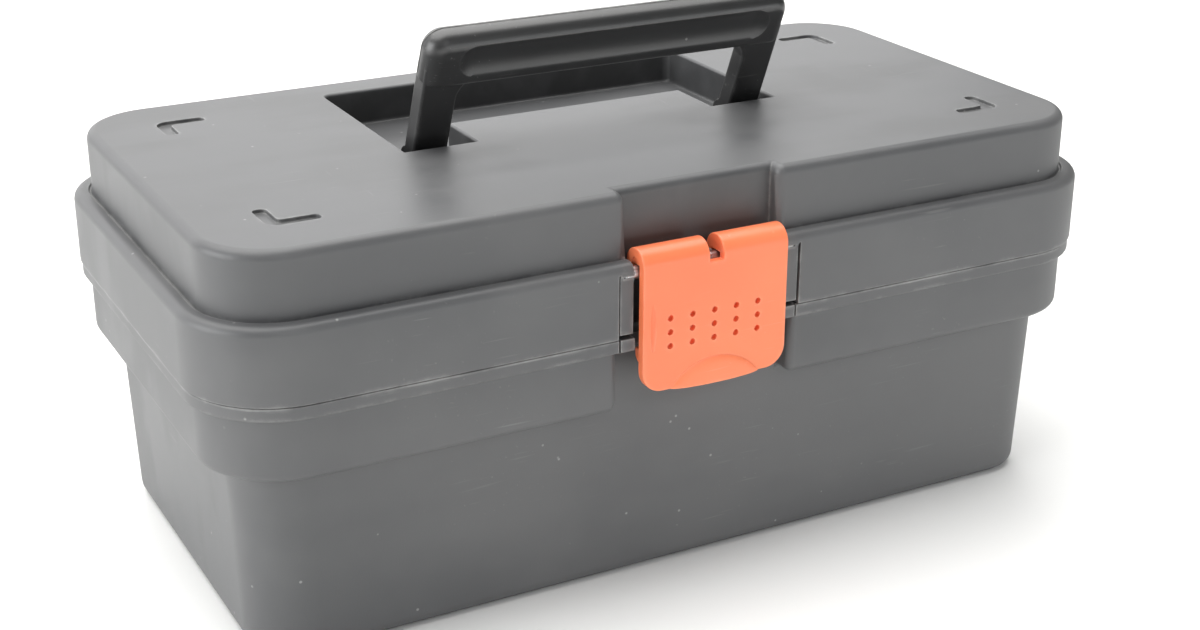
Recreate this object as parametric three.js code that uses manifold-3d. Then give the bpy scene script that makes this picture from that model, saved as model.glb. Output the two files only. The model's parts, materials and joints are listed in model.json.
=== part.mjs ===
// Fishing tackle box: a deep tub with a hinged lid, a pull latch, a fold-down carrying handle,
// and a lift-out tray with removable dividers.
// Millimetres. X runs along the length, the latch is on the -Y side, Z is up, and the origin is
// the middle of the underside, on the surface the box stands on.
import * as THREE from 'three';
import { mergeVertices } from 'three/addons/utils/BufferGeometryUtils.js';
import Module from 'manifold-3d';

const wasm = await Module();
wasm.setup();

// ---- driving dimensions ----
const LENGTH = 320;
const DEPTH = 170;
const CORNER = 30;
const TOP_Z = 134;
const LEDGE_Z = 113.5;
const SEAM_Z = 89;
const BAND_Z = 64;
const WALL = 2.5;
const GAP = 0.3;

// insets of each tier from the lid band's outline
const UPPER_LID_INSET = 6;
const RIM_INSET = 0.5;
const BAND_INSET = 3;
const TUB_TOP_INSET = 11;
const TUB_FOOT_INSET = 13;
const RIM_BEAD = 4.4;

// handle
const POCKET_FLOOR_Z = 121.5;
const POCKET_HALF_X = 69.5;
const POCKET_BACK_Y = 63.5;
const TONGUE_HALF_X = 44.5;
const TONGUE_BACK_Y = 12.8;
const NOTCH_FRONT_Y = -10.2;
const HANDLE_AXIS = { y: -1, z: 127.5 };
const HANDLE_LEAN = THREE.MathUtils.degToRad(23.4);
const HANDLE_PIN_R = 2.2;
const ARM_OUT_X = 64.8;
const ARM_IN_X = 53.3;
const ARM_THICK = 7;
const EYE_R = 5.2;
const GRIP = { halfX: 66, low: 33, high: 51.5, front: 5.5, back: -5.5 };

// latch
const LATCH_AXIS = { y: -82.4, z: 109.8 };
const LATCH_ROD_R = 2.2;
const LATCH_HALF_X = 25.8;
const LATCH_FRONT_Y = -88;
const LATCH_PLATE = 2.6;
const LATCH_LOW_Z = 71;
const RECESS_HALF_X = 27.3;
const RECESS_BACK_Y = -74;
const CHEEK_OUT_X = 32;
const CATCH_FRONT_Y = -80.2;
const TUB_RECESS_HALF_X = 31.5;
const TUB_RECESS_BACK_Y = -76;

// rear hinge
const HINGE_AXIS = { y: 89.3, z: SEAM_Z };
const KNUCKLE_R = 4;
const HINGE_PIN_R = 1.6;
const HINGE_CENTRES = [-95, 95];
const HINGE_HALF = 25;
const LID_KNUCKLE_HALF = 12.7;

// tray and dividers
const TRAY = { lowHalfX: 144.5, lowHalfY: 69, halfX: 150.5, halfY: 70.4, z0: 50, z1: 86, wall: 2 };
const TRAY_LEDGE_Z = BAND_Z + WALL;
const TRAY_SLOTS = [-108, -72, -36, 0, 36, 72, 108];
const FRONT_DIVIDERS = [-72, 0, 72];
const REAR_DIVIDERS = [-108, -36, 36, 108];
const DIVIDER_THICK = 1.6;
const DIVIDER_TOP_Z = 80;
const TRAY_GRIP_TOP_Z = 104;
const TUB_FLOOR = 3;
const TUB_DIVIDERS = { left: -50, right: 50 };
const TUB_DIVIDER_TOP_Z = 44;

// ---- materials ----
const finish = (color, roughness, metalness = 0) =>
  new THREE.MeshStandardMaterial({ color, roughness, metalness });
const greyPlastic = finish(0x6f7072, 0.55);
const blackPlastic = finish(0x1d1d1e, 0.45);
const orangePlastic = finish(0xff6b35, 0.35);
const trayPlastic = finish(0xb9bab6, 0.5);
const steel = finish(0xa8aaad, 0.3, 1);

// ---- solids from three.js geometry ----
function solid(geometry) {
  const bare = geometry.clone();
  bare.deleteAttribute('normal');
  bare.deleteAttribute('uv');
  const merged = mergeVertices(bare, 1e-4);
  return new wasm.Manifold(
    new wasm.Mesh({
      numProp: 3,
      vertProperties: new Float32Array(merged.attributes.position.array),
      triVerts: new Uint32Array(merged.index.array),
    }),
  );
}

function block(x0, x1, y0, y1, z0, z1) {
  const g = new THREE.BoxGeometry(x1 - x0, y1 - y0, z1 - z0);
  g.translate((x0 + x1) / 2, (y0 + y1) / 2, (z0 + z1) / 2);
  return solid(g);
}

// a round bar along X
function bar(r, x0, x1, { y, z }, sides = 24) {
  const g = new THREE.CylinderGeometry(r, r, x1 - x0, sides);
  g.rotateZ(Math.PI / 2);
  g.translate((x0 + x1) / 2, y, z);
  return solid(g);
}

const AX = new THREE.Vector3(1, 0, 0);
const AY = new THREE.Vector3(0, 1, 0);
const AZ = new THREE.Vector3(0, 0, 1);

const extrude = (shape, depth) =>
  new THREE.ExtrudeGeometry(shape, { depth, bevelEnabled: false, curveSegments: 6 });

// an outline drawn in X and Y, standing between two heights
function upright(shape, z0, z1) {
  return solid(extrude(shape, z1 - z0).translate(0, 0, z0));
}

// a section drawn in Y and Z, run along X
function along(shape, x0, x1) {
  const g = extrude(shape, x1 - x0).translate(0, 0, x0);
  return solid(g.applyMatrix4(new THREE.Matrix4().makeBasis(AY, AZ, AX)));
}

// a front outline drawn in X and Z, run from y1 forward to y0
function facing(shape, y0, y1) {
  const g = extrude(shape, y1 - y0).translate(0, 0, -y1);
  return solid(g.applyMatrix4(new THREE.Matrix4().makeBasis(AX, AZ, AY.clone().negate())));
}

function roundedShape(x0, x1, y0, y1, r) {
  const s = new THREE.Shape();
  s.moveTo(x0 + r, y0);
  s.lineTo(x1 - r, y0);
  s.absarc(x1 - r, y0 + r, r, -Math.PI / 2, 0);
  s.lineTo(x1, y1 - r);
  s.absarc(x1 - r, y1 - r, r, 0, Math.PI / 2);
  s.lineTo(x0 + r, y1);
  s.absarc(x0 + r, y1 - r, r, Math.PI / 2, Math.PI);
  s.lineTo(x0, y0 + r);
  s.absarc(x0 + r, y0 + r, r, Math.PI, 1.5 * Math.PI);
  return s;
}

function ring(halfX, halfY, r, steps = 7) {
  const points = [];
  const centres = [[1, 1, 0], [-1, 1, 1], [-1, -1, 2], [1, -1, 3]];
  for (const [sx, sy, quarter] of centres) {
    for (let i = 0; i <= steps; i += 1) {
      const a = (Math.PI / 2) * (quarter + i / steps);
      points.push([sx * (halfX - r) + r * Math.cos(a), sy * (halfY - r) + r * Math.sin(a)]);
    }
  }
  return points;
}

// a closed body through rounded rectangles, each { halfX, halfY, r, z }, from low to high
function loft(levels) {
  const rings = levels.map(({ halfX, halfY, r, z }) => ring(halfX, halfY, r).map(([x, y]) => [x, y, z]));
  const n = rings[0].length;
  const index = [];
  for (let k = 0; k < rings.length - 1; k += 1) {
    for (let i = 0; i < n; i += 1) {
      const a = k * n + i;
      const b = k * n + ((i + 1) % n);
      index.push(a, b, b + n, a, b + n, a + n);
    }
  }
  const last = (rings.length - 1) * n;
  for (let i = 1; i < n - 1; i += 1) {
    index.push(0, i + 1, i);
    index.push(last, last + i, last + i + 1);
  }
  const g = new THREE.BufferGeometry();
  g.setAttribute('position', new THREE.Float32BufferAttribute(rings.flat(2), 3));
  g.setIndex(index);
  return solid(g);
}

// the box's own outline, inset by so much at each height
const tier = (profile) =>
  loft(
    profile.map(([inset, z]) => ({
      halfX: LENGTH / 2 - inset,
      halfY: DEPTH / 2 - inset,
      r: CORNER - inset,
      z,
    })),
  );

const union = (parts) => parts.reduce((a, b) => a.add(b));

const group = new THREE.Group();

function place(name, body, material) {
  const { numProp, vertProperties, triVerts } = body.getMesh();
  const position = new Float32Array((vertProperties.length / numProp) * 3);
  for (let i = 0; i < position.length; i += 1) {
    position[i] = vertProperties[Math.floor(i / 3) * numProp + (i % 3)];
  }
  const g = new THREE.BufferGeometry();
  g.setAttribute('position', new THREE.BufferAttribute(position, 3));
  g.setIndex(new THREE.BufferAttribute(new Uint32Array(triVerts), 1));
  g.computeVertexNormals();
  const mesh = new THREE.Mesh(g, material);
  mesh.name = name;
  group.add(mesh);
}

// ---- hinge knuckles: a barrel on the hinge axis and a web to the wall it is moulded on ----
function knuckle(x0, x1, web) {
  const barrel = bar(KNUCKLE_R, x0, x1, HINGE_AXIS);
  const bore = bar(HINGE_PIN_R + GAP, x0 - 1, x1 + 1, HINGE_AXIS);
  return barrel.add(block(x0, x1, DEPTH / 2 - 1.5, HINGE_AXIS.y, web[0], web[1])).subtract(bore);
}

// ---- base tub ----
function baseTub() {
  const outer = tier([
    [18, 0],
    [14.5, 1.4],
    [TUB_FOOT_INSET, 5],
    [TUB_TOP_INSET, BAND_Z - 0.4],
    [5.5, BAND_Z],
    [3.7, BAND_Z + 0.8],
    [BAND_INSET, BAND_Z + 2.5],
    [BAND_INSET, SEAM_Z - RIM_BEAD - 0.2],
    [RIM_INSET, SEAM_Z - RIM_BEAD + 0.4],
    [RIM_INSET, SEAM_Z - 0.5],
    [RIM_INSET + 0.5, SEAM_Z],
  ]);
  const cavity = tier([
    [TUB_FOOT_INSET + 4.5, TUB_FLOOR],
    [TUB_FOOT_INSET + WALL, TUB_FLOOR + 2.5],
    [TUB_TOP_INSET + WALL, TRAY_LEDGE_Z],
    [BAND_INSET + WALL, TRAY_LEDGE_Z + 0.1],
    [BAND_INSET + WALL, SEAM_Z + 4],
  ]);
  // wall that steps in behind the latch
  const latchWall = block(
    -CHEEK_OUT_X - WALL, CHEEK_OUT_X + WALL, -DEPTH / 2, TUB_RECESS_BACK_Y + WALL, BAND_Z - 8, SEAM_Z,
  );
  const latchRecess = block(
    -TUB_RECESS_HALF_X, TUB_RECESS_HALF_X, -DEPTH, TUB_RECESS_BACK_Y, BAND_Z - 2, SEAM_Z - RIM_BEAD,
  );
  const railGap = block(
    -LATCH_HALF_X - 0.8, LATCH_HALF_X + 0.8, -DEPTH, CATCH_FRONT_Y, SEAM_Z - RIM_BEAD - 1, SEAM_Z + 1,
  );
  const lip = tier([[RIM_INSET + 2.8, SEAM_Z - 1], [RIM_INSET + 2.8, SEAM_Z + 3]]).subtract(
    tier([[BAND_INSET + WALL - 0.6, SEAM_Z - 2], [BAND_INSET + WALL - 0.6, SEAM_Z + 4]]),
  );
  const lipBreak = block(-CHEEK_OUT_X - 3, CHEEK_OUT_X + 3, -DEPTH, -70, SEAM_Z, SEAM_Z + 5);
  let body = outer.subtract(cavity.subtract(latchWall)).subtract(latchRecess).subtract(railGap);
  body = body.add(lip.subtract(lipBreak));
  for (const x of HINGE_CENTRES) {
    const web = [SEAM_Z - RIM_BEAD + 0.4, SEAM_Z - GAP];
    body = body.add(knuckle(x - HINGE_HALF, x - LID_KNUCKLE_HALF - GAP, web));
    body = body.add(knuckle(x + LID_KNUCKLE_HALF + GAP, x + HINGE_HALF, web));
  }
  // pairs of ribs that hold the two removable dividers of the tub
  const ribIn = DEPTH / 2 - TUB_FOOT_INSET - WALL - 3;
  const ribOut = DEPTH / 2 - TUB_FOOT_INSET - 0.6;
  for (const x of Object.values(TUB_DIVIDERS)) {
    for (const side of [-1, 1]) {
      const mid = x + side * (DIVIDER_THICK / 2 + GAP + 0.9);
      body = body.add(block(mid - 0.9, mid + 0.9, ribIn, ribOut, TUB_FLOOR + 1.5, 46));
      body = body.add(block(mid - 0.9, mid + 0.9, -ribOut, -ribIn, TUB_FLOOR + 1.5, 46));
    }
  }
  return body;
}

// ---- lid ----
function pocketShape(grow) {
  const s = new THREE.Shape();
  const x1 = POCKET_HALF_X + grow;
  const x0 = TONGUE_HALF_X - grow;
  const yb = POCKET_BACK_Y + grow;
  const yt = TONGUE_BACK_Y - grow;
  const yf = NOTCH_FRONT_Y - grow;
  const r = 4;
  s.moveTo(x1, yf + 2);
  s.lineTo(x1, yb - r);
  s.absarc(x1 - r, yb - r, r, 0, Math.PI / 2);
  s.lineTo(-x1 + r, yb);
  s.absarc(-x1 + r, yb - r, r, Math.PI / 2, Math.PI);
  s.lineTo(-x1, yf + 2);
  s.lineTo(-x1 + 2, yf);
  s.lineTo(-x0 - 2, yf);
  s.lineTo(-x0, yf + 2);
  s.lineTo(-x0, yt - r);
  s.absarc(-x0 + r, yt - r, r, Math.PI, Math.PI / 2, true);
  s.lineTo(x0 - r, yt);
  s.absarc(x0 - r, yt - r, r, Math.PI / 2, 0, true);
  s.lineTo(x0, yf + 2);
  s.lineTo(x0 + 2, yf);
  s.lineTo(x1 - 2, yf);
  return s;
}

// one L-shaped groove in the lid's top, for the corner on the side sx, sy
function cornerMark(sx, sy) {
  const arm = block(Math.min(sx * 115, sx * 131), Math.max(sx * 115, sx * 131),
    Math.min(sy * 54, sy * 58), Math.max(sy * 54, sy * 58), TOP_Z - 0.8, TOP_Z + 1);
  const leg = block(Math.min(sx * 127, sx * 131), Math.max(sx * 127, sx * 131),
    Math.min(sy * 42, sy * 58), Math.max(sy * 42, sy * 58), TOP_Z - 0.8, TOP_Z + 1);
  return arm.add(leg);
}

function lidShell() {
  const outer = tier([
    [0.5, SEAM_Z + GAP],
    [0, SEAM_Z + 0.8],
    [0, LEDGE_Z - 3],
    [0.9, LEDGE_Z - 0.9],
    [3, LEDGE_Z],
    [UPPER_LID_INSET, LEDGE_Z],
    [UPPER_LID_INSET, TOP_Z - 3],
    [UPPER_LID_INSET + 0.9, TOP_Z - 0.9],
    [UPPER_LID_INSET + 3, TOP_Z],
  ]);
  const cavity = tier([
    [WALL, SEAM_Z - 1],
    [WALL, LEDGE_Z - WALL],
    [UPPER_LID_INSET + WALL, LEDGE_Z - WALL + 0.1],
    [UPPER_LID_INSET + WALL, TOP_Z - WALL],
  ]);
  const pocketTub = upright(pocketShape(WALL), POCKET_FLOOR_Z - WALL, TOP_Z);
  const latchHousing = block(-CHEEK_OUT_X, CHEEK_OUT_X, -DEPTH / 2, RECESS_BACK_Y + WALL, SEAM_Z + GAP, TOP_Z);
  let body = outer.subtract(cavity.subtract(pocketTub).subtract(latchHousing));
  body = body.subtract(upright(pocketShape(0), POCKET_FLOOR_Z, TOP_Z + 1));
  body = body.subtract(block(-RECESS_HALF_X, RECESS_HALF_X, -DEPTH, RECESS_BACK_Y, SEAM_Z - 1, TOP_Z + 1));
  // lug in the middle of the latch rod, and the rod's seats in the cheeks
  body = body.add(
    block(-1.8, 1.8, LATCH_AXIS.y + 0.6, RECESS_BACK_Y + 1, LATCH_AXIS.z - 2.3, LATCH_AXIS.z + 2.3),
  );
  body = body.subtract(bar(LATCH_ROD_R + 0.05, -CHEEK_OUT_X + 1.2, CHEEK_OUT_X - 1.2, LATCH_AXIS));
  for (const side of [-1, 1]) {
    const inner = side * (TONGUE_HALF_X - WALL - 1);
    const outerX = side * (POCKET_HALF_X + WALL + 1);
    body = body.subtract(bar(HANDLE_PIN_R + 0.05, Math.min(inner, outerX), Math.max(inner, outerX), HANDLE_AXIS));
    for (const sy of [-1, 1]) {
      body = body.subtract(cornerMark(side, sy));
    }
  }
  for (const x of HINGE_CENTRES) {
    body = body.add(knuckle(x - LID_KNUCKLE_HALF, x + LID_KNUCKLE_HALF, [SEAM_Z + GAP, SEAM_Z + 3.9]));
  }
  return body;
}

// ---- carrying handle, drawn upright about its axis and leant forward on its stop ----
function carryHandle() {
  const arms = new THREE.Shape();
  arms.moveTo(-ARM_OUT_X, 0);
  arms.lineTo(-ARM_IN_X, 0);
  arms.lineTo(-ARM_IN_X, GRIP.low - 4);
  arms.absarc(-ARM_IN_X + 5, GRIP.low - 4, 5, Math.PI, Math.PI / 2, true);
  arms.lineTo(ARM_IN_X - 5, GRIP.low + 1);
  arms.absarc(ARM_IN_X - 5, GRIP.low - 4, 5, Math.PI / 2, 0, true);
  arms.lineTo(ARM_IN_X, 0);
  arms.lineTo(ARM_OUT_X, 0);
  arms.lineTo(ARM_OUT_X, GRIP.low + 6);
  arms.lineTo(-ARM_OUT_X, GRIP.low + 6);
  let body = facing(arms, -ARM_THICK / 2, ARM_THICK / 2);
  // grip: a round back bead over a shallow finger groove and a smaller lower bead
  const section = new THREE.Shape();
  section.moveTo(-GRIP.back, GRIP.low + 2);
  section.lineTo(-GRIP.back, GRIP.high - 5.5);
  section.absarc(0, GRIP.high - 5.5, 5.5, 0, Math.PI);
  section.lineTo(-4.4, GRIP.high - 9);
  section.lineTo(-4.4, GRIP.low + 6.2);
  section.lineTo(-GRIP.front, GRIP.low + 4.2);
  section.lineTo(-GRIP.front, GRIP.low + 2);
  section.lineTo(-GRIP.front + 2, GRIP.low);
  section.lineTo(-GRIP.back - 2, GRIP.low);
  const outline = roundedShape(-GRIP.halfX, GRIP.halfX, GRIP.low - 10, GRIP.high, 7);
  body = body.add(along(section, -GRIP.halfX, GRIP.halfX).intersect(facing(outline, -10, 10)));
  for (const side of [-1, 1]) {
    const x0 = Math.min(side * ARM_IN_X, side * ARM_OUT_X);
    const x1 = Math.max(side * ARM_IN_X, side * ARM_OUT_X);
    body = body.add(bar(EYE_R, x0, x1, { y: 0, z: 0 }));
    body = body.subtract(bar(HANDLE_PIN_R + GAP, x0 - 1, x1 + 1, { y: 0, z: 0 }));
  }
  const lean = THREE.MathUtils.radToDeg(HANDLE_LEAN);
  return body.rotate([lean, 0, 0]).translate([0, HANDLE_AXIS.y, HANDLE_AXIS.z]);
}

// ---- latch: a plate that hooks over its rod, with a rib behind and a pull lip below ----
function latch() {
  const back = LATCH_FRONT_Y + LATCH_PLATE;
  const curl = { y: LATCH_AXIS.y, z: 111.8, r: LATCH_AXIS.y - LATCH_FRONT_Y };
  const section = new THREE.Shape();
  section.moveTo(LATCH_FRONT_Y, LATCH_LOW_Z);
  section.lineTo(back, LATCH_LOW_Z);
  section.lineTo(back, 106);
  section.lineTo(LATCH_AXIS.y - 0.4, 106.2);
  section.lineTo(LATCH_AXIS.y - 1.6, 107.1);
  section.lineTo(back, 108.6);
  section.lineTo(back, curl.z);
  section.absarc(curl.y, curl.z, curl.r - LATCH_PLATE, Math.PI, 0, true);
  section.lineTo(curl.y + curl.r - LATCH_PLATE, 108.6);
  section.lineTo(curl.y + curl.r, 108.6);
  section.lineTo(curl.y + curl.r, curl.z);
  section.absarc(curl.y, curl.z, curl.r, 0, Math.PI);
  let body = along(section, -LATCH_HALF_X, LATCH_HALF_X);
  const outline = roundedShape(-LATCH_HALF_X, LATCH_HALF_X, LATCH_LOW_Z, 125, 7);
  body = body.intersect(facing(outline, -100, -70));
  body = body.subtract(block(-2.9, 2.9, -100, -70, 110.6, 125));
  body = body.subtract(block(-2.9, 2.9, back, -70, 103, 125));
  // rib that reaches under the catch rail
  const rib = new THREE.Shape();
  rib.moveTo(back - 0.5, 79.5);
  rib.lineTo(CATCH_FRONT_Y - GAP, 82.8);
  rib.lineTo(CATCH_FRONT_Y - GAP, SEAM_Z - RIM_BEAD - 0.4);
  rib.lineTo(back - 0.5, SEAM_Z - RIM_BEAD - 0.4);
  body = body.add(along(rib, -24.5, 24.5));
  // pull lip that flares forward at the bottom edge
  const lip = new THREE.Shape();
  lip.moveTo(LATCH_FRONT_Y + 1, 79);
  lip.lineTo(LATCH_FRONT_Y - 0.3, 79);
  lip.lineTo(LATCH_FRONT_Y - 2.6, LATCH_LOW_Z + 0.5);
  lip.lineTo(LATCH_FRONT_Y - 2, LATCH_LOW_Z);
  lip.lineTo(LATCH_FRONT_Y + 1, LATCH_LOW_Z);
  const lens = new THREE.Shape();
  lens.moveTo(-16, LATCH_LOW_Z - 1);
  lens.lineTo(16, LATCH_LOW_Z - 1);
  lens.quadraticCurveTo(0, 88, -16, LATCH_LOW_Z - 1);
  body = body.add(along(lip, -16, 16).intersect(facing(lens, -100, -70)));
  return body;
}

// ---- lift-out tray ----
function liftTray() {
  const level = (halfX, halfY, r, z) => ({ halfX, halfY, r, z });
  const t = TRAY;
  const seat = TRAY_LEDGE_Z + GAP;
  const outer = loft([
    level(t.lowHalfX - 1.5, t.lowHalfY - 1.5, 13, t.z0),
    level(t.lowHalfX, t.lowHalfY, 15, t.z0 + 2),
    level(t.lowHalfX, t.lowHalfY, 15, seat),
    level(t.halfX, t.halfY, 21, seat + 0.1),
    level(t.halfX, t.halfY, 21, t.z1),
  ]);
  const inner = loft([
    level(t.lowHalfX - t.wall - 1.5, t.lowHalfY - t.wall - 1.5, 11.5, t.z0 + t.wall),
    level(t.lowHalfX - t.wall, t.lowHalfY - t.wall, 13, t.z0 + t.wall + 2),
    level(t.lowHalfX - t.wall, t.lowHalfY - t.wall, 13, seat + t.wall),
    level(t.halfX - t.wall, t.halfY - t.wall, 19, seat + t.wall + 0.1),
    level(t.halfX - t.wall, t.halfY - t.wall, 19, t.z1 + 1),
  ]);
  let body = outer.subtract(inner);
  // long middle wall that rises into a grip with a finger slot
  const wall = new THREE.Shape();
  wall.moveTo(-t.lowHalfX + 1, t.z0 + 1);
  wall.lineTo(t.lowHalfX - 1, t.z0 + 1);
  wall.lineTo(t.lowHalfX - 1, t.z1 - 3);
  wall.lineTo(56, t.z1 - 3);
  wall.lineTo(46, TRAY_GRIP_TOP_Z - 3);
  wall.quadraticCurveTo(44, TRAY_GRIP_TOP_Z, 40, TRAY_GRIP_TOP_Z);
  wall.lineTo(-40, TRAY_GRIP_TOP_Z);
  wall.quadraticCurveTo(-44, TRAY_GRIP_TOP_Z, -46, TRAY_GRIP_TOP_Z - 3);
  wall.lineTo(-56, t.z1 - 3);
  wall.lineTo(-t.lowHalfX + 1, t.z1 - 3);
  body = body.add(facing(wall, -1, 1));
  body = body.add(block(-42, 42, -4, 4, TRAY_GRIP_TOP_Z - 5, TRAY_GRIP_TOP_Z));
  body = body.subtract(facing(roundedShape(-36, 36, 84, TRAY_GRIP_TOP_Z - 5, 5), -10, 10));
  // slots for the cross dividers, each between two ribs
  const ribTop = DIVIDER_TOP_Z;
  const off = DIVIDER_THICK / 2 + GAP + 0.6;
  const wallY = t.lowHalfY - t.wall;
  for (const x of TRAY_SLOTS) {
    for (const side of [-off, off]) {
      for (const [y0, y1] of [[-wallY - 0.5, -wallY + 1.8], [-2.8, 2.8], [wallY - 1.8, wallY + 0.5]]) {
        const top = Math.abs(y0) < 3 ? ribTop : TRAY_LEDGE_Z + 1;
        body = body.add(block(x + side - 0.6, x + side + 0.6, y0, y1, t.z0 + 1, top));
      }
    }
  }
  return body;
}

function trayDivider(x, side) {
  const y0 = 1 + GAP;
  const lowY = TRAY.lowHalfY - TRAY.wall - GAP;
  const highY = TRAY.halfY - TRAY.wall - GAP;
  const s = new THREE.Shape();
  s.moveTo(y0, TRAY.z0 + TRAY.wall + GAP);
  s.lineTo(lowY - 2.2, TRAY.z0 + TRAY.wall + GAP);
  s.lineTo(lowY, TRAY.z0 + TRAY.wall + 2.6);
  s.lineTo(lowY, TRAY_LEDGE_Z + TRAY.wall + 2 * GAP + 0.4);
  s.lineTo(highY, TRAY_LEDGE_Z + TRAY.wall + 2 * GAP + 0.4);
  s.lineTo(highY, DIVIDER_TOP_Z);
  s.lineTo(y0, DIVIDER_TOP_Z);
  const plate = along(s, x - DIVIDER_THICK / 2, x + DIVIDER_THICK / 2);
  return side > 0 ? plate : plate.mirror([0, 1, 0]);
}

function tubDivider(x) {
  const halfLow = DEPTH / 2 - TUB_FOOT_INSET - WALL - 0.6;
  const s = new THREE.Shape();
  s.moveTo(-halfLow + 2.6, TUB_FLOOR + GAP);
  s.lineTo(halfLow - 2.6, TUB_FLOOR + GAP);
  s.lineTo(halfLow, TUB_FLOOR + 3.2);
  s.lineTo(halfLow, TUB_DIVIDER_TOP_Z);
  s.lineTo(-halfLow, TUB_DIVIDER_TOP_Z);
  s.lineTo(-halfLow, TUB_FLOOR + 3.2);
  return along(s, x - DIVIDER_THICK / 2, x + DIVIDER_THICK / 2);
}

// ---- the object ----
place('base_tub', baseTub(), greyPlastic);
place('lid_shell', lidShell(), greyPlastic);
place('carry_handle', carryHandle(), blackPlastic);
place('latch', latch(), orangePlastic);
place('latch_rod', bar(LATCH_ROD_R, -CHEEK_OUT_X + 1.6, CHEEK_OUT_X - 1.6, LATCH_AXIS), steel);
for (const [side, x] of [['left', HINGE_CENTRES[0]], ['right', HINGE_CENTRES[1]]]) {
  const sign = Math.sign(x);
  const ends = [sign * (TONGUE_HALF_X - WALL + 0.4), sign * (POCKET_HALF_X + WALL - 0.4)].sort((a, b) => a - b);
  place(`hinge_pin_${side}`, bar(HINGE_PIN_R, x - HINGE_HALF, x + HINGE_HALF, HINGE_AXIS), steel);
  place(`handle_pin_${side}`, bar(HANDLE_PIN_R, ends[0], ends[1], HANDLE_AXIS), steel);
}
place('lift_tray', liftTray(), trayPlastic);
FRONT_DIVIDERS.forEach((x, i) => place(`tray_divider_front_${i + 1}`, trayDivider(x, -1), trayPlastic));
REAR_DIVIDERS.forEach((x, i) => place(`tray_divider_rear_${i + 1}`, trayDivider(x, 1), trayPlastic));
for (const [side, x] of Object.entries(TUB_DIVIDERS)) {
  place(`tub_divider_${side}`, tubDivider(x), trayPlastic);
}

export default group;
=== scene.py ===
"""Fishing tackle box: the finished look of the tub, lid, latch, handle and lift-out tray."""

import json
import math

import bpy
from mathutils import Matrix, Vector


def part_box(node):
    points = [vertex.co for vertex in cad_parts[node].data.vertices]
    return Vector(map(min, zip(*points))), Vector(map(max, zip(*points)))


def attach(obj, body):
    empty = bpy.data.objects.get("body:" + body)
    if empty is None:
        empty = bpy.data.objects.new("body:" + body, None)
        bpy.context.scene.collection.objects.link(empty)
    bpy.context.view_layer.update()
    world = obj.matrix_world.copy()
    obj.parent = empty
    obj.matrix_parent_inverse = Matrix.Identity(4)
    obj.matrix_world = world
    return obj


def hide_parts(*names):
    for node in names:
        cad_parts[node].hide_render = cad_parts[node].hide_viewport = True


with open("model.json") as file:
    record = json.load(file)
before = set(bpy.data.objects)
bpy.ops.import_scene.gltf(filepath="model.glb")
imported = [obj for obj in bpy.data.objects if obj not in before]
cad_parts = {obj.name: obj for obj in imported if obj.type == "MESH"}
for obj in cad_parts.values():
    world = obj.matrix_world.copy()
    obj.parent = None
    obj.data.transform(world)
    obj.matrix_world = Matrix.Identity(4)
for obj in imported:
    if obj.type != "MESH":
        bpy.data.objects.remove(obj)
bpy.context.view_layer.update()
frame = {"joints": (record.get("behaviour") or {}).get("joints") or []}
joints = {joint["name"]: joint for joint in frame["joints"]}
MM = 0.001

# ---- Studio ----
# A pale table top under a wide overhead panel and a tall panel on the box's left.
# The table throws most of the light that reaches the front of the box.
scene = bpy.context.scene
scene.view_settings.view_transform = "Standard"
TABLE_HALF = 2.4
TABLE_TONE = (0.88, 0.88, 0.87, 1.0)
AIR_SEEN = 1.0
AIR_LIGHT = 0.16

world = bpy.data.worlds.new("studio_air")
scene.world = world
world.use_nodes = True
air = world.node_tree
air.nodes.clear()
air_seen = air.nodes.new("ShaderNodeBackground")
air_seen.inputs["Strength"].default_value = AIR_SEEN
air_light = air.nodes.new("ShaderNodeBackground")
air_light.inputs["Strength"].default_value = AIR_LIGHT
air_ray = air.nodes.new("ShaderNodeLightPath")
air_mix = air.nodes.new("ShaderNodeMixShader")
air_out = air.nodes.new("ShaderNodeOutputWorld")
air.links.new(air_ray.outputs["Is Camera Ray"], air_mix.inputs["Fac"])
air.links.new(air_light.outputs["Background"], air_mix.inputs[1])
air.links.new(air_seen.outputs["Background"], air_mix.inputs[2])
air.links.new(air_mix.outputs["Shader"], air_out.inputs["Surface"])


def soft_panel(name, place, aim, width, height, power, tint):
    """A flat studio panel at place, facing aim."""
    lamp = bpy.data.lights.new(name, "AREA")
    lamp.shape = "RECTANGLE"
    lamp.size = width
    lamp.size_y = height
    lamp.energy = power
    lamp.color = tint
    panel = bpy.data.objects.new(name, lamp)
    scene.collection.objects.link(panel)
    panel.location = place
    panel.rotation_euler = (Vector(aim) - Vector(place)).to_track_quat("-Z", "Y").to_euler()
    return panel


BOX_MIDDLE = (0.0, 0.0, 0.07)
soft_panel("overhead_panel", (-0.1, 0.45, 1.9), BOX_MIDDLE, 2.8, 2.4, 82.0, (1.0, 0.995, 0.98))
soft_panel("left_panel", (-1.9, 0.15, 0.6), BOX_MIDDLE, 1.7, 1.1, 31.0, (0.985, 0.995, 1.0))
soft_panel("back_panel", (0.1, 2.4, 0.85), BOX_MIDDLE, 4.2, 1.5, 36.0, (1.0, 1.0, 1.0))
soft_panel("front_card", (0.75, -1.5, 0.11), (0.1, 0.0, 0.03), 2.6, 0.2, 5.6, (0.97, 0.985, 1.0))
table_wash = soft_panel(
    "table_wash", (0.25, -0.82, 0.55), (0.25, -0.36, 0), 1.3, 0.2, 0.8, (0.98, 0.99, 1.0)
)
table_wash.data.spread = math.radians(60)

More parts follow.
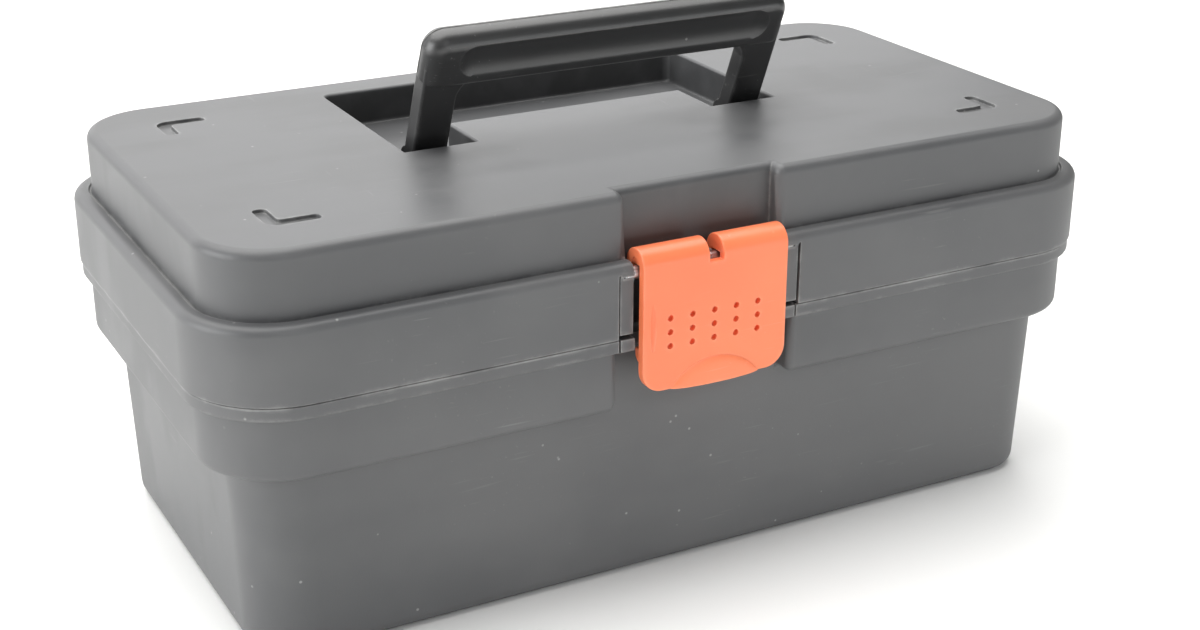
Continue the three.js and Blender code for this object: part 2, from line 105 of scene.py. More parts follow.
bpy.ops.object.select_all(action="DESELECT")
bpy.ops.mesh.primitive_plane_add(size=2 * TABLE_HALF, location=(0, 0, -0.0002))
table = bpy.context.object
table.name = "table_top"
table_finish = bpy.data.materials.new("table_white")
table_finish.use_nodes = True
table_shader = table_finish.node_tree.nodes["Principled BSDF"]
table_shader.inputs["Base Color"].default_value = TABLE_TONE
table_shader.inputs["Roughness"].default_value = 0.7
table.data.materials.append(table_finish)

CAMERA_PLACE = (-0.29276, -0.55813, 0.31920)
CAMERA_TURN = 28.192
CAMERA_DOWN = 22.290
CAMERA_ROLL = 0.173
CAMERA_LENS = 57.957
camera_data = bpy.data.cameras.new("camera")
camera_data.lens = CAMERA_LENS
camera_data.clip_start = 0.01
camera = bpy.data.objects.new("camera", camera_data)
scene.collection.objects.link(camera)
camera.location = CAMERA_PLACE
camera.rotation_euler = (
    Matrix.Rotation(-math.radians(CAMERA_TURN), 3, "Z")
    @ Matrix.Rotation(math.radians(90 - CAMERA_DOWN), 3, "X")
    @ Matrix.Rotation(math.radians(CAMERA_ROLL), 3, "Z")
).to_euler()
scene.camera = camera

# ---- Tub ----
# The deep lower half, injection moulded in one piece of grey polypropylene with drafted walls.
# A wider band runs round its mouth, with a rim bead, a locating lip and a recess for the latch.
CORNER_STEPS = 14
FILLET_STEPS = 6
lid_low, lid_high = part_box("lid_shell")
HALF_LENGTH = lid_high.x
HALF_DEPTH = -lid_low.y
CORNER = 30 * MM
SEAM = joints["lid_hinge"]["pos_m"][2]
BAND_LOW = 64 * MM
BAND_INSET = 3 * MM
BAY_ROUND = 2.4 * MM
RIM_INSET = 0.5 * MM
RIM_BEAD = 4.3 * MM
WALL = 2.5 * MM
TUB_TOP_INSET = 11 * MM
TUB_FOOT_INSET = 13 * MM
TUB_FLOOR = 3 * MM
LIP_INSET = 3.3 * MM
LIP_RISE = 3 * MM
LATCH_BAY_HALF = 31.5 * MM
LATCH_BAY_BACK = -(HALF_DEPTH - TUB_TOP_INSET) + 0.05 * MM
CATCH_HALF = 26.6 * MM
CATCH_FRONT = -80.2 * MM
HINGE_CENTRES = (-95 * MM, 95 * MM)
HINGE_HALF = 25 * MM
LID_KNUCKLE_HALF = 12.7 * MM
KNUCKLE_RADIUS = 4 * MM
PIN_BORE = 1.7 * MM
RING_CUTS = (-124 * MM, -62 * MM, 0.01 * MM, 62 * MM, 124 * MM)
ON_FACE = 0.05 * MM
ROOM_SHARE = 0.45
RUNS_ON = 0.6
hinge_line = Vector(joints["lid_hinge"]["pos_m"])


def pick_alone(piece):
    """Leaves edit mode, with only this piece selected and active."""
    if bpy.context.mode != "OBJECT":
        bpy.ops.object.mode_set(mode="OBJECT")
    bpy.ops.object.select_all(action="DESELECT")
    piece.select_set(True)
    bpy.context.view_layer.objects.active = piece


def settle():
    """Puts the active piece's place, turn and scale into its mesh."""
    bpy.ops.object.transform_apply(location=True, rotation=True, scale=True)


def round_outline(name, half_x, half_y, corner, height, looks_down):
    """A flat outline with round corners, left in edit mode with its face picked."""
    bpy.ops.object.select_all(action="DESELECT")
    turn = math.pi if looks_down else 0.0
    bpy.ops.mesh.primitive_plane_add(size=2, location=(0, 0, height), rotation=(turn, 0, 0))
    piece = bpy.context.object
    piece.name = name
    piece.scale = (half_x, half_y, 1)
    settle()
    bpy.ops.object.mode_set(mode="EDIT")
    bpy.ops.mesh.select_all(action="SELECT")
    bpy.ops.mesh.bevel(offset=corner, segments=CORNER_STEPS, affect="VERTICES")
    bpy.ops.mesh.select_all(action="SELECT")
    return piece


def shell_outline(name, inset, height, looks_down):
    """The box's own outline, inset from the lid band's."""
    half_x, half_y = HALF_LENGTH - inset, HALF_DEPTH - inset
    return round_outline(name, half_x, half_y, CORNER - inset, height, looks_down)


def swell(start, end):
    """Quarter round from a wall at start to a flat at end, as (inset, height) steps."""
    wide, tall = end[0] - start[0], end[1] - start[1]
    angles = [math.pi / 2 * step / FILLET_STEPS for step in range(FILLET_STEPS + 1)]
    return [(start[0] + wide * (1 - math.cos(a)), start[1] + tall * math.sin(a)) for a in angles]


def hollow(start, end):
    """Quarter cove from a flat at start to a wall at end, as (inset, height) steps."""
    wide, tall = end[0] - start[0], end[1] - start[1]
    angles = [math.pi / 2 * step / FILLET_STEPS for step in range(FILLET_STEPS + 1)]
    return [(start[0] + wide * math.sin(a), start[1] + tall * (1 - math.cos(a))) for a in angles]


def pull(run):
    """Extrudes the picked faces along run."""
    bpy.ops.mesh.extrude_region_move(TRANSFORM_OT_translate={"value": run})


def score(place, across):
    """Parts every face of the piece in hand where one flat plane meets it."""
    bpy.ops.mesh.select_all(action="SELECT")
    bpy.ops.mesh.bisect(plane_co=place, plane_no=across)


def face_outwards():
    """Turns every face of the piece in hand outwards, then leaves edit mode."""
    bpy.ops.mesh.select_all(action="SELECT")
    bpy.ops.mesh.normals_make_consistent(inside=False)
    bpy.ops.object.mode_set(mode="OBJECT")


def draw_tiers(steps):
    """Carries the picked outline through (inset, height) steps, then leaves edit mode."""
    rise = 1 if steps[-1][1] > steps[0][1] else -1
    for before, after in zip(steps, steps[1:]):
        inward = after[0] - before[0]
        along = (after[1] - before[1]) * rise
        if inward < 1e-7:
            pull((0, 0, along * rise))
        else:
            bpy.ops.mesh.inset(thickness=inward, depth=along)
    face_outwards()


def block(name, low, high):
    """A plain rectangular piece between two corners, used to cut or to build on."""
    bpy.ops.object.select_all(action="DESELECT")
    middle = (Vector(low) + Vector(high)) / 2
    bpy.ops.mesh.primitive_cube_add(size=1, location=middle)
    piece = bpy.context.object
    piece.name = name
    piece.scale = Vector(high) - Vector(low)
    settle()
    return piece


def rod(name, radius, start_x, end_x, place, sides=40):
    """A round bar along X whose middle line runs through place."""
    bpy.ops.object.select_all(action="DESELECT")
    bpy.ops.mesh.primitive_cylinder_add(
        vertices=sides,
        radius=radius,
        depth=end_x - start_x,
        location=((start_x + end_x) / 2, place[1], place[2]),
        rotation=(0, math.pi / 2, 0),
    )
    piece = bpy.context.object
    piece.name = name
    settle()
    return piece


def work(piece, tool, operation):
    """Joins tool to piece, or cuts it away, and clears the tool."""
    pick_alone(piece)
    step = piece.modifiers.new("work", "BOOLEAN")
    step.operation = operation
    step.solver = "EXACT"
    step.object = tool
    bpy.ops.object.modifier_apply(modifier=step.name)
    bpy.data.objects.remove(tool)


def cut(piece, name, low, high):
    """Cuts a rectangular space out of a piece."""
    work(piece, block(name, low, high), "DIFFERENCE")


def pick_edges(piece, wanted):
    """Enters edit mode with only the edges whose two ends pass the test picked."""
    pick_alone(piece)
    bpy.ops.object.mode_set(mode="EDIT")
    bpy.ops.mesh.select_mode(type="EDGE")
    bpy.ops.mesh.select_all(action="DESELECT")
    bpy.ops.object.mode_set(mode="OBJECT")
    points = piece.data.vertices
    for edge in piece.data.edges:
        start, end = (points[index].co for index in edge.vertices)
        edge.select = wanted(start, end)
    bpy.ops.object.mode_set(mode="EDIT")


def pick_faces(piece, wanted):
    """Enters edit mode with only the faces that pass the test picked."""
    pick_alone(piece)
    bpy.ops.object.mode_set(mode="EDIT")
    bpy.ops.mesh.select_mode(type="FACE")
    bpy.ops.mesh.select_all(action="DESELECT")
    bpy.ops.object.mode_set(mode="OBJECT")
    for face in piece.data.polygons:
        face.select = wanted(face)
    bpy.ops.object.mode_set(mode="EDIT")


def round_edges(piece, wanted, radius, steps=4, keep_clear=True):
    """Rounds the edges that pass the test; keep_clear holds the rounding short of its neighbours."""
    pick_edges(piece, wanted)
    bpy.ops.mesh.bevel(offset=radius, segments=steps, affect="EDGES", clamp_overlap=keep_clear)
    bpy.ops.object.mode_set(mode="OBJECT")


def part_rings(piece):
    """Cuts the faces that run right round the box into short lengths."""
    pick_alone(piece)
    bpy.ops.object.mode_set(mode="EDIT")
    for place, across in [((x, 0, 0), (1, 0, 0)) for x in RING_CUTS] + [((0, 0.01 * MM, 0), (0, 1, 0))]:
        score(place, across)
    bpy.ops.object.mode_set(mode="OBJECT")


def weigh_sharp_edges(piece, radius, angle):
    """Marks each sharp edge with the share of radius that its neighbours leave room for."""
    mesh = piece.data
    place = [point.co.copy() for point in mesh.vertices]
    faces_at = {}
    for face in mesh.polygons:
        for key in face.edge_keys:
            faces_at.setdefault(key, []).append(face)
    shares = mesh.attributes.new("bevel_weight_edge", "FLOAT", "EDGE")
    for edge in mesh.edges:
        faces = faces_at[edge.key]
        if len(faces) != 2 or faces[0].normal.dot(faces[1].normal) > math.cos(angle):
            continue
        run = (place[edge.vertices[1]] - place[edge.vertices[0]]).normalized()
        room = radius
        for face in faces:
            corners = list(face.vertices)
            for index, corner in enumerate(corners):
                if corner not in edge.vertices:
                    continue
                for other in (corners[index - 1], corners[(index + 1) % len(corners)]):
                    side = place[other] - place[corner]
                    across = (side - run * side.dot(run)).length
                    if other not in edge.vertices and across > RUNS_ON * side.length:
                        room = min(room, ROOM_SHARE * across)
        shares.data[edge.index].value = room / radius


def finish_moulding(piece, radius, steps=2, angle=32, keep_clear=False):
    """Breaks every sharp edge as a mould does, and shades the faces smoothly."""
    pick_alone(piece)
    weigh_sharp_edges(piece, radius, math.radians(angle))
    edges = piece.modifiers.new("broken_edges", "BEVEL")
    edges.width = radius
    edges.segments = steps
    edges.limit_method = "WEIGHT"
    edges.use_clamp_overlap = keep_clear
    edges.miter_outer = "MITER_ARC"
    bpy.ops.object.modifier_apply(modifier=edges.name)
    spent = piece.data.attributes.get("bevel_weight_edge")
    if spent:
        piece.data.attributes.remove(spent)
    bpy.ops.object.shade_smooth_by_angle(angle=math.radians(angle))
    flats = piece.modifiers.new("even_flats", "WEIGHTED_NORMAL")
    flats.keep_sharp = True
    flats.weight = 80
    bpy.ops.object.modifier_apply(modifier=flats.name)


def knuckle(name, start_x, end_x, web_low, web_high):
    """One hinge knuckle with the short web that ties it to the wall."""
    barrel = rod(name, KNUCKLE_RADIUS, start_x, end_x, hinge_line)
    web = block("web", (start_x, HALF_DEPTH - 3 * MM, web_low), (end_x, hinge_line.y, web_high))
    work(barrel, web, "UNION")
    return barrel


tub_steps = (
    [(RIM_INSET, SEAM), (RIM_INSET, SEAM - RIM_BEAD + 0.6 * MM)]
    + swell((RIM_INSET, SEAM - RIM_BEAD + 0.6 * MM), (RIM_INSET + 0.6 * MM, SEAM - RIM_BEAD))
    + hollow((BAND_INSET - 0.5 * MM, SEAM - RIM_BEAD), (BAND_INSET, SEAM - RIM_BEAD - 0.5 * MM))
    + swell((BAND_INSET, BAND_LOW + 2.6 * MM), (BAND_INSET + 2.6 * MM, BAND_LOW))
    + hollow((TUB_TOP_INSET - 1.5 * MM, BAND_LOW), (TUB_TOP_INSET, BAND_LOW - 1.5 * MM))
    + swell((TUB_FOOT_INSET, 4.6 * MM), (TUB_FOOT_INSET + 4.6 * MM, 0))
)
tub = shell_outline("tub_moulding", RIM_INSET, SEAM, looks_down=True)
draw_tiers(tub_steps)

tub_room = shell_outline("tub_room", BAND_INSET + WALL, SEAM + 6 * MM, looks_down=True)
tray_ledge = BAND_LOW + WALL
draw_tiers(
    [(BAND_INSET + WALL, SEAM + 6 * MM), (BAND_INSET + WALL, tray_ledge)]
    + [(TUB_TOP_INSET + WALL, tray_ledge - 0.1 * MM)]
    + swell((TUB_FOOT_INSET + WALL, TUB_FLOOR + 3 * MM), (TUB_FOOT_INSET + WALL + 3 * MM, TUB_FLOOR))
)
cut(
    tub_room,
    "wall_behind_latch",
    (-CATCH_HALF - 8 * MM, -HALF_DEPTH - 5 * MM, BAND_LOW - 8 * MM),
    (CATCH_HALF + 8 * MM, LATCH_BAY_BACK + WALL, SEAM + 10 * MM),
)
cut(
    tub,
    "latch_bay",
    (-LATCH_BAY_HALF, -HALF_DEPTH - 5 * MM, BAND_LOW / 2),
    (LATCH_BAY_HALF, LATCH_BAY_BACK, SEAM - RIM_BEAD),
)


def bay_mouth(start, end):
    """The upright edges where the band stops beside the latch, and their run under the band."""
    middle = (start + end) / 2
    beside = all(abs(abs(p.x) - LATCH_BAY_HALF) < ON_FACE for p in (start, end))
    outside = middle.y < LATCH_BAY_BACK - 0.2 * MM and middle.z < SEAM - RIM_BEAD - 0.2 * MM
    return beside and outside and (start - end).length > ON_FACE


round_edges(tub, bay_mouth, BAY_ROUND, 6, keep_clear=False)
cut(
    tub,
    "catch_gap",
    (-CATCH_HALF, -HALF_DEPTH - 5 * MM, SEAM - RIM_BEAD - 1 * MM),
    (CATCH_HALF, CATCH_FRONT, SEAM + 1 * MM),
)

lip = shell_outline("locating_lip", LIP_INSET, SEAM - 1 * MM, looks_down=False)
draw_tiers([(LIP_INSET, SEAM - 1 * MM), (LIP_INSET, SEAM + LIP_RISE)])
lip_inside = BAND_INSET + 2 * WALL
lip_room = shell_outline("lip_room", lip_inside, SEAM - 2 * MM, looks_down=False)
draw_tiers([(lip_inside, SEAM - 2 * MM), (lip_inside, SEAM + LIP_RISE + 1 * MM)])
work(lip, lip_room, "DIFFERENCE")
cut(
    lip,
    "lip_break",
    (-LATCH_BAY_HALF - 3.5 * MM, -HALF_DEPTH, SEAM - 2 * MM),
    (LATCH_BAY_HALF + 3.5 * MM, -70 * MM, SEAM + 6 * MM),
)
work(tub, lip, "UNION")
work(tub, tub_room, "DIFFERENCE")

for centre in HINGE_CENTRES:
    for start_x, end_x in (
        (centre - HINGE_HALF, centre - LID_KNUCKLE_HALF - 0.3 * MM),
        (centre + LID_KNUCKLE_HALF + 0.3 * MM, centre + HINGE_HALF),
    ):
        work(tub, knuckle("tub_knuckle", start_x, end_x, SEAM - 3.8 * MM, SEAM - 0.3 * MM), "UNION")
    bore_start, bore_end = centre - HINGE_HALF - 1 * MM, centre + HINGE_HALF + 1 * MM
    work(tub, rod("pin_bore", PIN_BORE, bore_start, bore_end, hinge_line, 24), "DIFFERENCE")

# two ribs on each long wall hold the edge of a tub divider between them
DIVIDER_PLAY = 0.3 * MM
RIB_THICK = 1.8 * MM
RIB_TOP = 46 * MM
RIB_OUT = HALF_DEPTH - TUB_FOOT_INSET - 0.6 * MM
RIB_IN = HALF_DEPTH - TUB_FOOT_INSET - WALL - 3 * MM
for divider in ("tub_divider_left", "tub_divider_right"):
    slot_low, slot_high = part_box(divider)
    for rib_x in (slot_low.x - DIVIDER_PLAY - RIB_THICK, slot_high.x + DIVIDER_PLAY):
        for near_y, far_y in ((RIB_IN, RIB_OUT), (-RIB_OUT, -RIB_IN)):
            low = (rib_x, near_y, TUB_FLOOR + 1.5 * MM)
            work(tub, block("rib", low, (rib_x + RIB_THICK, far_y, RIB_TOP)), "UNION")

# a slit each side of the catch frees the end blocks of the rim
SLIT_NEAR = 31.6 * MM
SLIT_FAR = 32.05 * MM
SLIT_BACK = -82.4 * MM
for side in (-1, 1):
    slit = sorted((side * SLIT_NEAR, side * SLIT_FAR))
    slit_low = (slit[0], -HALF_DEPTH, SEAM - RIM_BEAD - 1 * MM)
    cut(tub, "slit", slit_low, (slit[1], SLIT_BACK, SEAM + 1 * MM))
part_rings(tub)
finish_moulding(tub, 0.35 * MM)


def add_node(tree, kind, **settings):
    """A node with its settings."""
    node = tree.nodes.new(kind)
    for key, value in settings.items():
        setattr(node, key, value)
    return node


def feed(tree, socket, value):
    """Links a socket, or sets it to a plain value."""
    if isinstance(value, bpy.types.NodeSocket):
        tree.links.new(value, socket)
    else:
        socket.default_value = value


def maths(tree, operation, first, second=0.0, clamp=False):
    """One arithmetic step."""
    node = add_node(tree, "ShaderNodeMath", operation=operation, use_clamp=clamp)
    feed(tree, node.inputs[0], first)
    feed(tree, node.inputs[1], second)
    return node.outputs[0]


def ramp(tree, value, low, high, to_low=0.0, to_high=1.0):
    """Value spread from low..high to to_low..to_high, softly, and held there."""
    node = add_node(tree, "ShaderNodeMapRange", interpolation_type="SMOOTHSTEP")
    feed(tree, node.inputs["Value"], value)
    for label, number in (
        ("From Min", low),
        ("From Max", high),
        ("To Min", to_low),
        ("To Max", to_high),
    ):
        feed(tree, node.inputs[label], number)
    return node.outputs["Result"]


def blend(tree, factor, first, second, how="MIX"):
    """One colour laid over another by factor."""
    node = add_node(tree, "ShaderNodeMix", data_type="RGBA", blend_type=how)
    feed(tree, node.inputs["Factor"], factor)
    feed(tree, node.inputs["A"], first)
    feed(tree, node.inputs["B"], second)
    return node.outputs["Result"]


def bump(tree, height, strength, distance):
    """The surface's normal, tilted to show a height."""
    node = add_node(tree, "ShaderNodeBump")
    feed(tree, node.inputs["Strength"], strength)
    feed(tree, node.inputs["Distance"], distance)
    feed(tree, node.inputs["Height"], height)
    return node.outputs["Normal"]


def noise(tree, where, scale, detail=3.0, roughness=0.5, squeeze=None, turn=(0, 0, 0)):
    """Smooth random values over the piece; squeeze stretches them along an axis."""
    if squeeze:
        mapping = add_node(tree, "ShaderNodeMapping")
        mapping.inputs["Scale"].default_value = squeeze
        mapping.inputs["Rotation"].default_value = turn
        feed(tree, mapping.inputs["Vector"], where)
        where = mapping.outputs["Vector"]
    node = add_node(tree, "ShaderNodeTexNoise")
    feed(tree, node.inputs["Vector"], where)
    feed(tree, node.inputs["Scale"], scale)
    node.inputs["Detail"].default_value = detail
    node.inputs["Roughness"].default_value = roughness
    return node.outputs["Fac"]


def new_group(name, takes, gives):
    """An empty shader node group with its named sockets."""
    tree = bpy.data.node_groups.new(name, "ShaderNodeTree")
    for label, kind, value in takes:
        socket = tree.interface.new_socket(label, in_out="INPUT", socket_type=kind)
        if value is not None:
            socket.default_value = value
    for label in gives:
        tree.interface.new_socket(label, in_out="OUTPUT", socket_type="NodeSocketFloat")
    return tree, tree.nodes.new("NodeGroupInput").outputs, tree.nodes.new("NodeGroupOutput").inputs


FLOAT = "NodeSocketFloat"
VECTOR = "NodeSocketVector"

# mould skin: fine spark-eroded grain over the slow waviness of cooled plastic
skin, skin_in, skin_out = new_group(
    "mould_skin",
    [("Where", VECTOR, None), ("Grain per metre", FLOAT, 2200.0), ("Waviness", FLOAT, 0.6)],
    ["Height"],
)
grain = noise(skin, skin_in["Where"], skin_in["Grain per metre"], detail=2.0)
sink = noise(skin, skin_in["Where"], 34.0, detail=1.0)
slow = maths(skin, "MULTIPLY", sink, skin_in["Waviness"])
feed(skin, skin_out["Height"], maths(skin, "ADD", maths(skin, "MULTIPLY", grain, 0.12), slow))

# worn edges: where the surface turns sharply the skin is rubbed pale, in broken runs
worn, worn_in, worn_out = new_group(
    "worn_edges",
    [("Where", VECTOR, None), ("Reach", FLOAT, 0.0009), ("Amount", FLOAT, 1.0)],
    ["Mask"],
)
surface = add_node(worn, "ShaderNodeNewGeometry")


def turning(reach, low, high):
    """How sharply the surface turns within reach of a point."""
    softened = add_node(worn, "ShaderNodeBevel", samples=6)
    feed(worn, softened.inputs["Radius"], reach)
    facing = add_node(worn, "ShaderNodeVectorMath", operation="DOT_PRODUCT")
    feed(worn, facing.inputs[0], softened.outputs["Normal"])
    feed(worn, facing.inputs[1], surface.outputs["Normal"])
    return ramp(worn, maths(worn, "SUBTRACT", 1.0, facing.outputs["Value"]), low, high)


sharp = turning(worn_in["Reach"], 0.01, 0.09)
broad = turning(maths(worn, "MULTIPLY", worn_in["Reach"], 3.2), 0.008, 0.12)
ragged = noise(worn, worn_in["Where"], 75.0, detail=6.0, roughness=0.7)
sharp_worn = maths(worn, "MULTIPLY", sharp, ramp(worn, ragged, 0.32, 0.58))
broad_worn = maths(worn, "MULTIPLY", broad, ramp(worn, ragged, 0.44, 0.66, 0.0, 0.5))
either = maths(worn, "MAXIMUM", sharp_worn, broad_worn)
feed(worn, worn_out["Mask"], maths(worn, "MULTIPLY", either, worn_in["Amount"], True))

# seam rub: the two halves chafe along the line where they meet, which leaves it pale
seam_rub, rub_in, rub_out = new_group(
    "seam_rub",
    [("Where", VECTOR, None), ("Height", FLOAT, 0.089), ("Half width", FLOAT, 0.0008)],
    ["Mask"],
)
split = add_node(seam_rub, "ShaderNodeSeparateXYZ")
feed(seam_rub, split.inputs["Vector"], rub_in["Where"])
wander = maths(seam_rub, "MULTIPLY", noise(seam_rub, rub_in["Where"], 120.0, detail=3.0), 0.0006)
away = maths(seam_rub, "SUBTRACT", maths(seam_rub, "ADD", split.outputs["Z"], wander), rub_in["Height"])
apart = maths(seam_rub, "DIVIDE", maths(seam_rub, "ABSOLUTE", away), rub_in["Half width"])
along_seam = ramp(seam_rub, noise(seam_rub, rub_in["Where"], 22.0, detail=6.0, roughness=0.7), 0.40, 0.66)
near_seam = ramp(seam_rub, apart, 0.5, 1.0, 1.0, 0.0)
feed(seam_rub, rub_out["Mask"], maths(seam_rub, "MULTIPLY", near_seam, along_seam))

# scuffs: short fine scratches and pale specks left by handling
scuff, scuff_in, scuff_out = new_group(
    "handling_scuffs",
    [("Where", VECTOR, None), ("Scratches", FLOAT, 0.5), ("Specks", FLOAT, 0.5)],
    ["Mask"],
)
strokes = None
for squeeze, turn in (
    ((0.035, 1.0, 1.0), (0.15, 0.1, 0.12)),
    ((0.06, 1.0, 1.0), (0.2, -0.5, -0.9)),
    ((1.0, 0.05, 1.0), (-0.4, 0.1, 0.5)),
):
    field = noise(scuff, scuff_in["Where"], 950.0, detail=1.5, squeeze=squeeze, turn=turn)
    thin = ramp(scuff, field, 0.69, 0.80)
    strokes = thin if strokes is None else maths(scuff, "MAXIMUM", strokes, thin)
patches = ramp(scuff, noise(scuff, scuff_in["Where"], 19.0, detail=3.0), 0.50, 0.68)
scratches = maths(scuff, "MULTIPLY", maths(scuff, "MULTIPLY", strokes, patches), scuff_in["Scratches"])
cells = add_node(scuff, "ShaderNodeTexVoronoi", feature="F1")
feed(scuff, cells.inputs["Vector"], scuff_in["Where"])
cells.inputs["Scale"].default_value = 210.0
chosen = ramp(scuff, noise(scuff, scuff_in["Where"], 90.0, detail=1.0), 0.62, 0.68)
dots = maths(scuff, "MULTIPLY", ramp(scuff, cells.outputs["Distance"], 0.07, 0.12, 1.0, 0.0), chosen)
specks = maths(scuff, "MULTIPLY", dots, scuff_in["Specks"])
feed(scuff, scuff_out["Mask"], maths(scuff, "MAXIMUM", scratches, specks, True))

# bloom: the cloudy dullness of used plastic, in slow patches and faint wiped streaks
bloom, bloom_in, bloom_out = new_group(
    "cloudy_bloom",
    [("Where", VECTOR, None), ("Streaks", FLOAT, 0.5)],
    ["Cloud"],
)
patch = noise(bloom, bloom_in["Where"], 11.0, detail=4.0, roughness=0.55)
wiped = noise(bloom, bloom_in["Where"], 40.0, detail=3.0, squeeze=(0.14, 0.8, 0.5), turn=(0.1, 0.1, 0.25))
streaked = maths(bloom, "MULTIPLY", maths(bloom, "SUBTRACT", wiped, 0.5), bloom_in["Streaks"])
feed(bloom, bloom_out["Cloud"], ramp(bloom, maths(bloom, "ADD", patch, streaked), 0.3, 0.7))


def moulded_plastic(name, colour, cloudy, pale, roughness, **wear):
    """Solid-coloured moulded plastic: cloudy where dulled, pale where rubbed or scratched."""
    finish = bpy.data.materials.new(name)
    finish.use_nodes = True
    tree = finish.node_tree
    shader = tree.nodes["Principled BSDF"]
    where = add_node(tree, "ShaderNodeTexCoord").outputs["Object"]

    def placed(group, **values):
        node = add_node(tree, "ShaderNodeGroup", node_tree=group)
        feed(tree, node.inputs["Where"], where)
        for label, value in values.items():
            node.inputs[label.replace("_", " ")].default_value = value
        return node.outputs[0]

    cloud = placed(bloom, Streaks=wear.get("streaks", 0.5))
    edges = placed(worn, Reach=wear.get("reach", 0.0009), Amount=wear.get("edges", 0.6))
    marks = placed(scuff, Scratches=wear.get("scratches", 0.4), Specks=wear.get("specks", 0.5))
    rubbed = maths(tree, "MAXIMUM", edges, marks)
    if "seam" in wear:
        chafed = placed(seam_rub, Height=wear["seam"])
        rubbed = maths(tree, "MAXIMUM", rubbed, maths(tree, "MULTIPLY", chafed, 0.75))
    dulled = blend(tree, cloud, (*colour, 1), (*cloudy, 1))
    feed(tree, shader.inputs["Base Color"], blend(tree, rubbed, dulled, (*pale, 1)))
    spread = ramp(tree, cloud, 0.0, 1.0, roughness - 0.06, roughness + 0.06)
    rough = maths(tree, "ADD", spread, maths(tree, "MULTIPLY", rubbed, 0.12), True)
    feed(tree, shader.inputs["Roughness"], rough)
    height = placed(skin, Waviness=wear.get("waviness", 0.6))
    dented = maths(tree, "SUBTRACT", height, maths(tree, "MULTIPLY", marks, 0.15))
    feed(tree, shader.inputs["Normal"], bump(tree, dented, wear.get("relief", 0.35), 0.4 * MM))
    return finish


grey_plastic = moulded_plastic(
    "grey_polypropylene",
    colour=(0.088, 0.0895, 0.093),
    cloudy=(0.118, 0.119, 0.121),
    pale=(0.33, 0.33, 0.325),
    roughness=0.46,
    edges=1.0,
    scratches=0.22,
    specks=0.7,
    streaks=0.8,
    relief=0.5,
    seam=SEAM + 0.2 * MM,
)


def dress(piece, finish, body, slot_name, *stands_for):
    """Gives a finished piece its material and its body, and hides the CAD parts it stands for; slot_name
    is not used.
    """
    piece.data.materials.clear()
    piece.data.materials.append(finish)
    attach(piece, body)
    if stands_for:
        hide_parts(*stands_for)


dress(tub, grey_plastic, "tub", "grey_plastic", "base_tub")

# ---- Lid ----
# The upper half, moulded like the tub: a band, a set-in upper tier, and a pocket for the handle.
# A recess for the latch runs down its front, with a cheek on each side that carries the rod.
UPPER_INSET = 6 * MM
LEDGE = 113.5 * MM
LID_TOP = lid_high.z
BAND_ROUND = 3 * MM
TOP_ROUND = 3.2 * MM
LID_BOTTOM = SEAM + 0.3 * MM
GUTTER = 0.9 * MM
RECESS_HALF = 27.3 * MM
RECESS_BACK = -74 * MM
RECESS_ROUND = 2.8 * MM
CHEEK_OUT = 32 * MM
POCKET_HALF = 69.5 * MM
POCKET_BACK = 63.5 * MM
POCKET_FLOOR = 121.5 * MM
POCKET_CORNER = 4 * MM
POCKET_ROUND = 1.1 * MM
POCKET_FOOT = 1.2 * MM
TONGUE_HALF = 44.5 * MM
TONGUE_BACK = 12.8 * MM
NOTCH_FRONT = -10.2 * MM
latch_line = Vector(joints["latch_pivot"]["pos_m"])
handle_line = Vector(joints["handle_pivot"]["pos_m"])

lid_steps = (
    [(0, LID_BOTTOM)]
    + swell((0, LEDGE - BAND_ROUND), (BAND_ROUND, LEDGE))
    + [(UPPER_INSET - 1.1 * MM, LEDGE), (UPPER_INSET - 0.9 * MM, LEDGE - GUTTER)]
    + [(UPPER_INSET - 0.3 * MM, LEDGE - GUTTER), (UPPER_INSET, LEDGE - 0.1 * MM)]
    + swell((UPPER_INSET, LID_TOP - TOP_ROUND), (UPPER_INSET + TOP_ROUND, LID_TOP))
)
lid = shell_outline("lid_moulding", 0, LID_BOTTOM, looks_down=False)
draw_tiers(lid_steps)
cut(
    lid,
    "latch_recess",
    (-RECESS_HALF, -HALF_DEPTH - 5 * MM, LID_BOTTOM - 1 * MM),
    (RECESS_HALF, RECESS_BACK, LID_TOP + 1 * MM),
)


def recess_mouth(start, end):
    """The edges where the upper tier turns into the latch recess, and the recess's top edge."""
    middle = (start + end) / 2
    beside = all(abs(abs(p.x) - RECESS_HALF) < ON_FACE for p in (start, end))
    down_front = beside and middle.z > LEDGE + 0.3 * MM and middle.y < RECESS_BACK - 0.01 * MM
    across = abs(middle.y - RECESS_BACK) < ON_FACE and middle.z > LID_TOP - ON_FACE
    return down_front or (across and abs(start.y - end.y) < 0.01 * MM)


round_edges(lid, recess_mouth, RECESS_ROUND, 7, keep_clear=False)


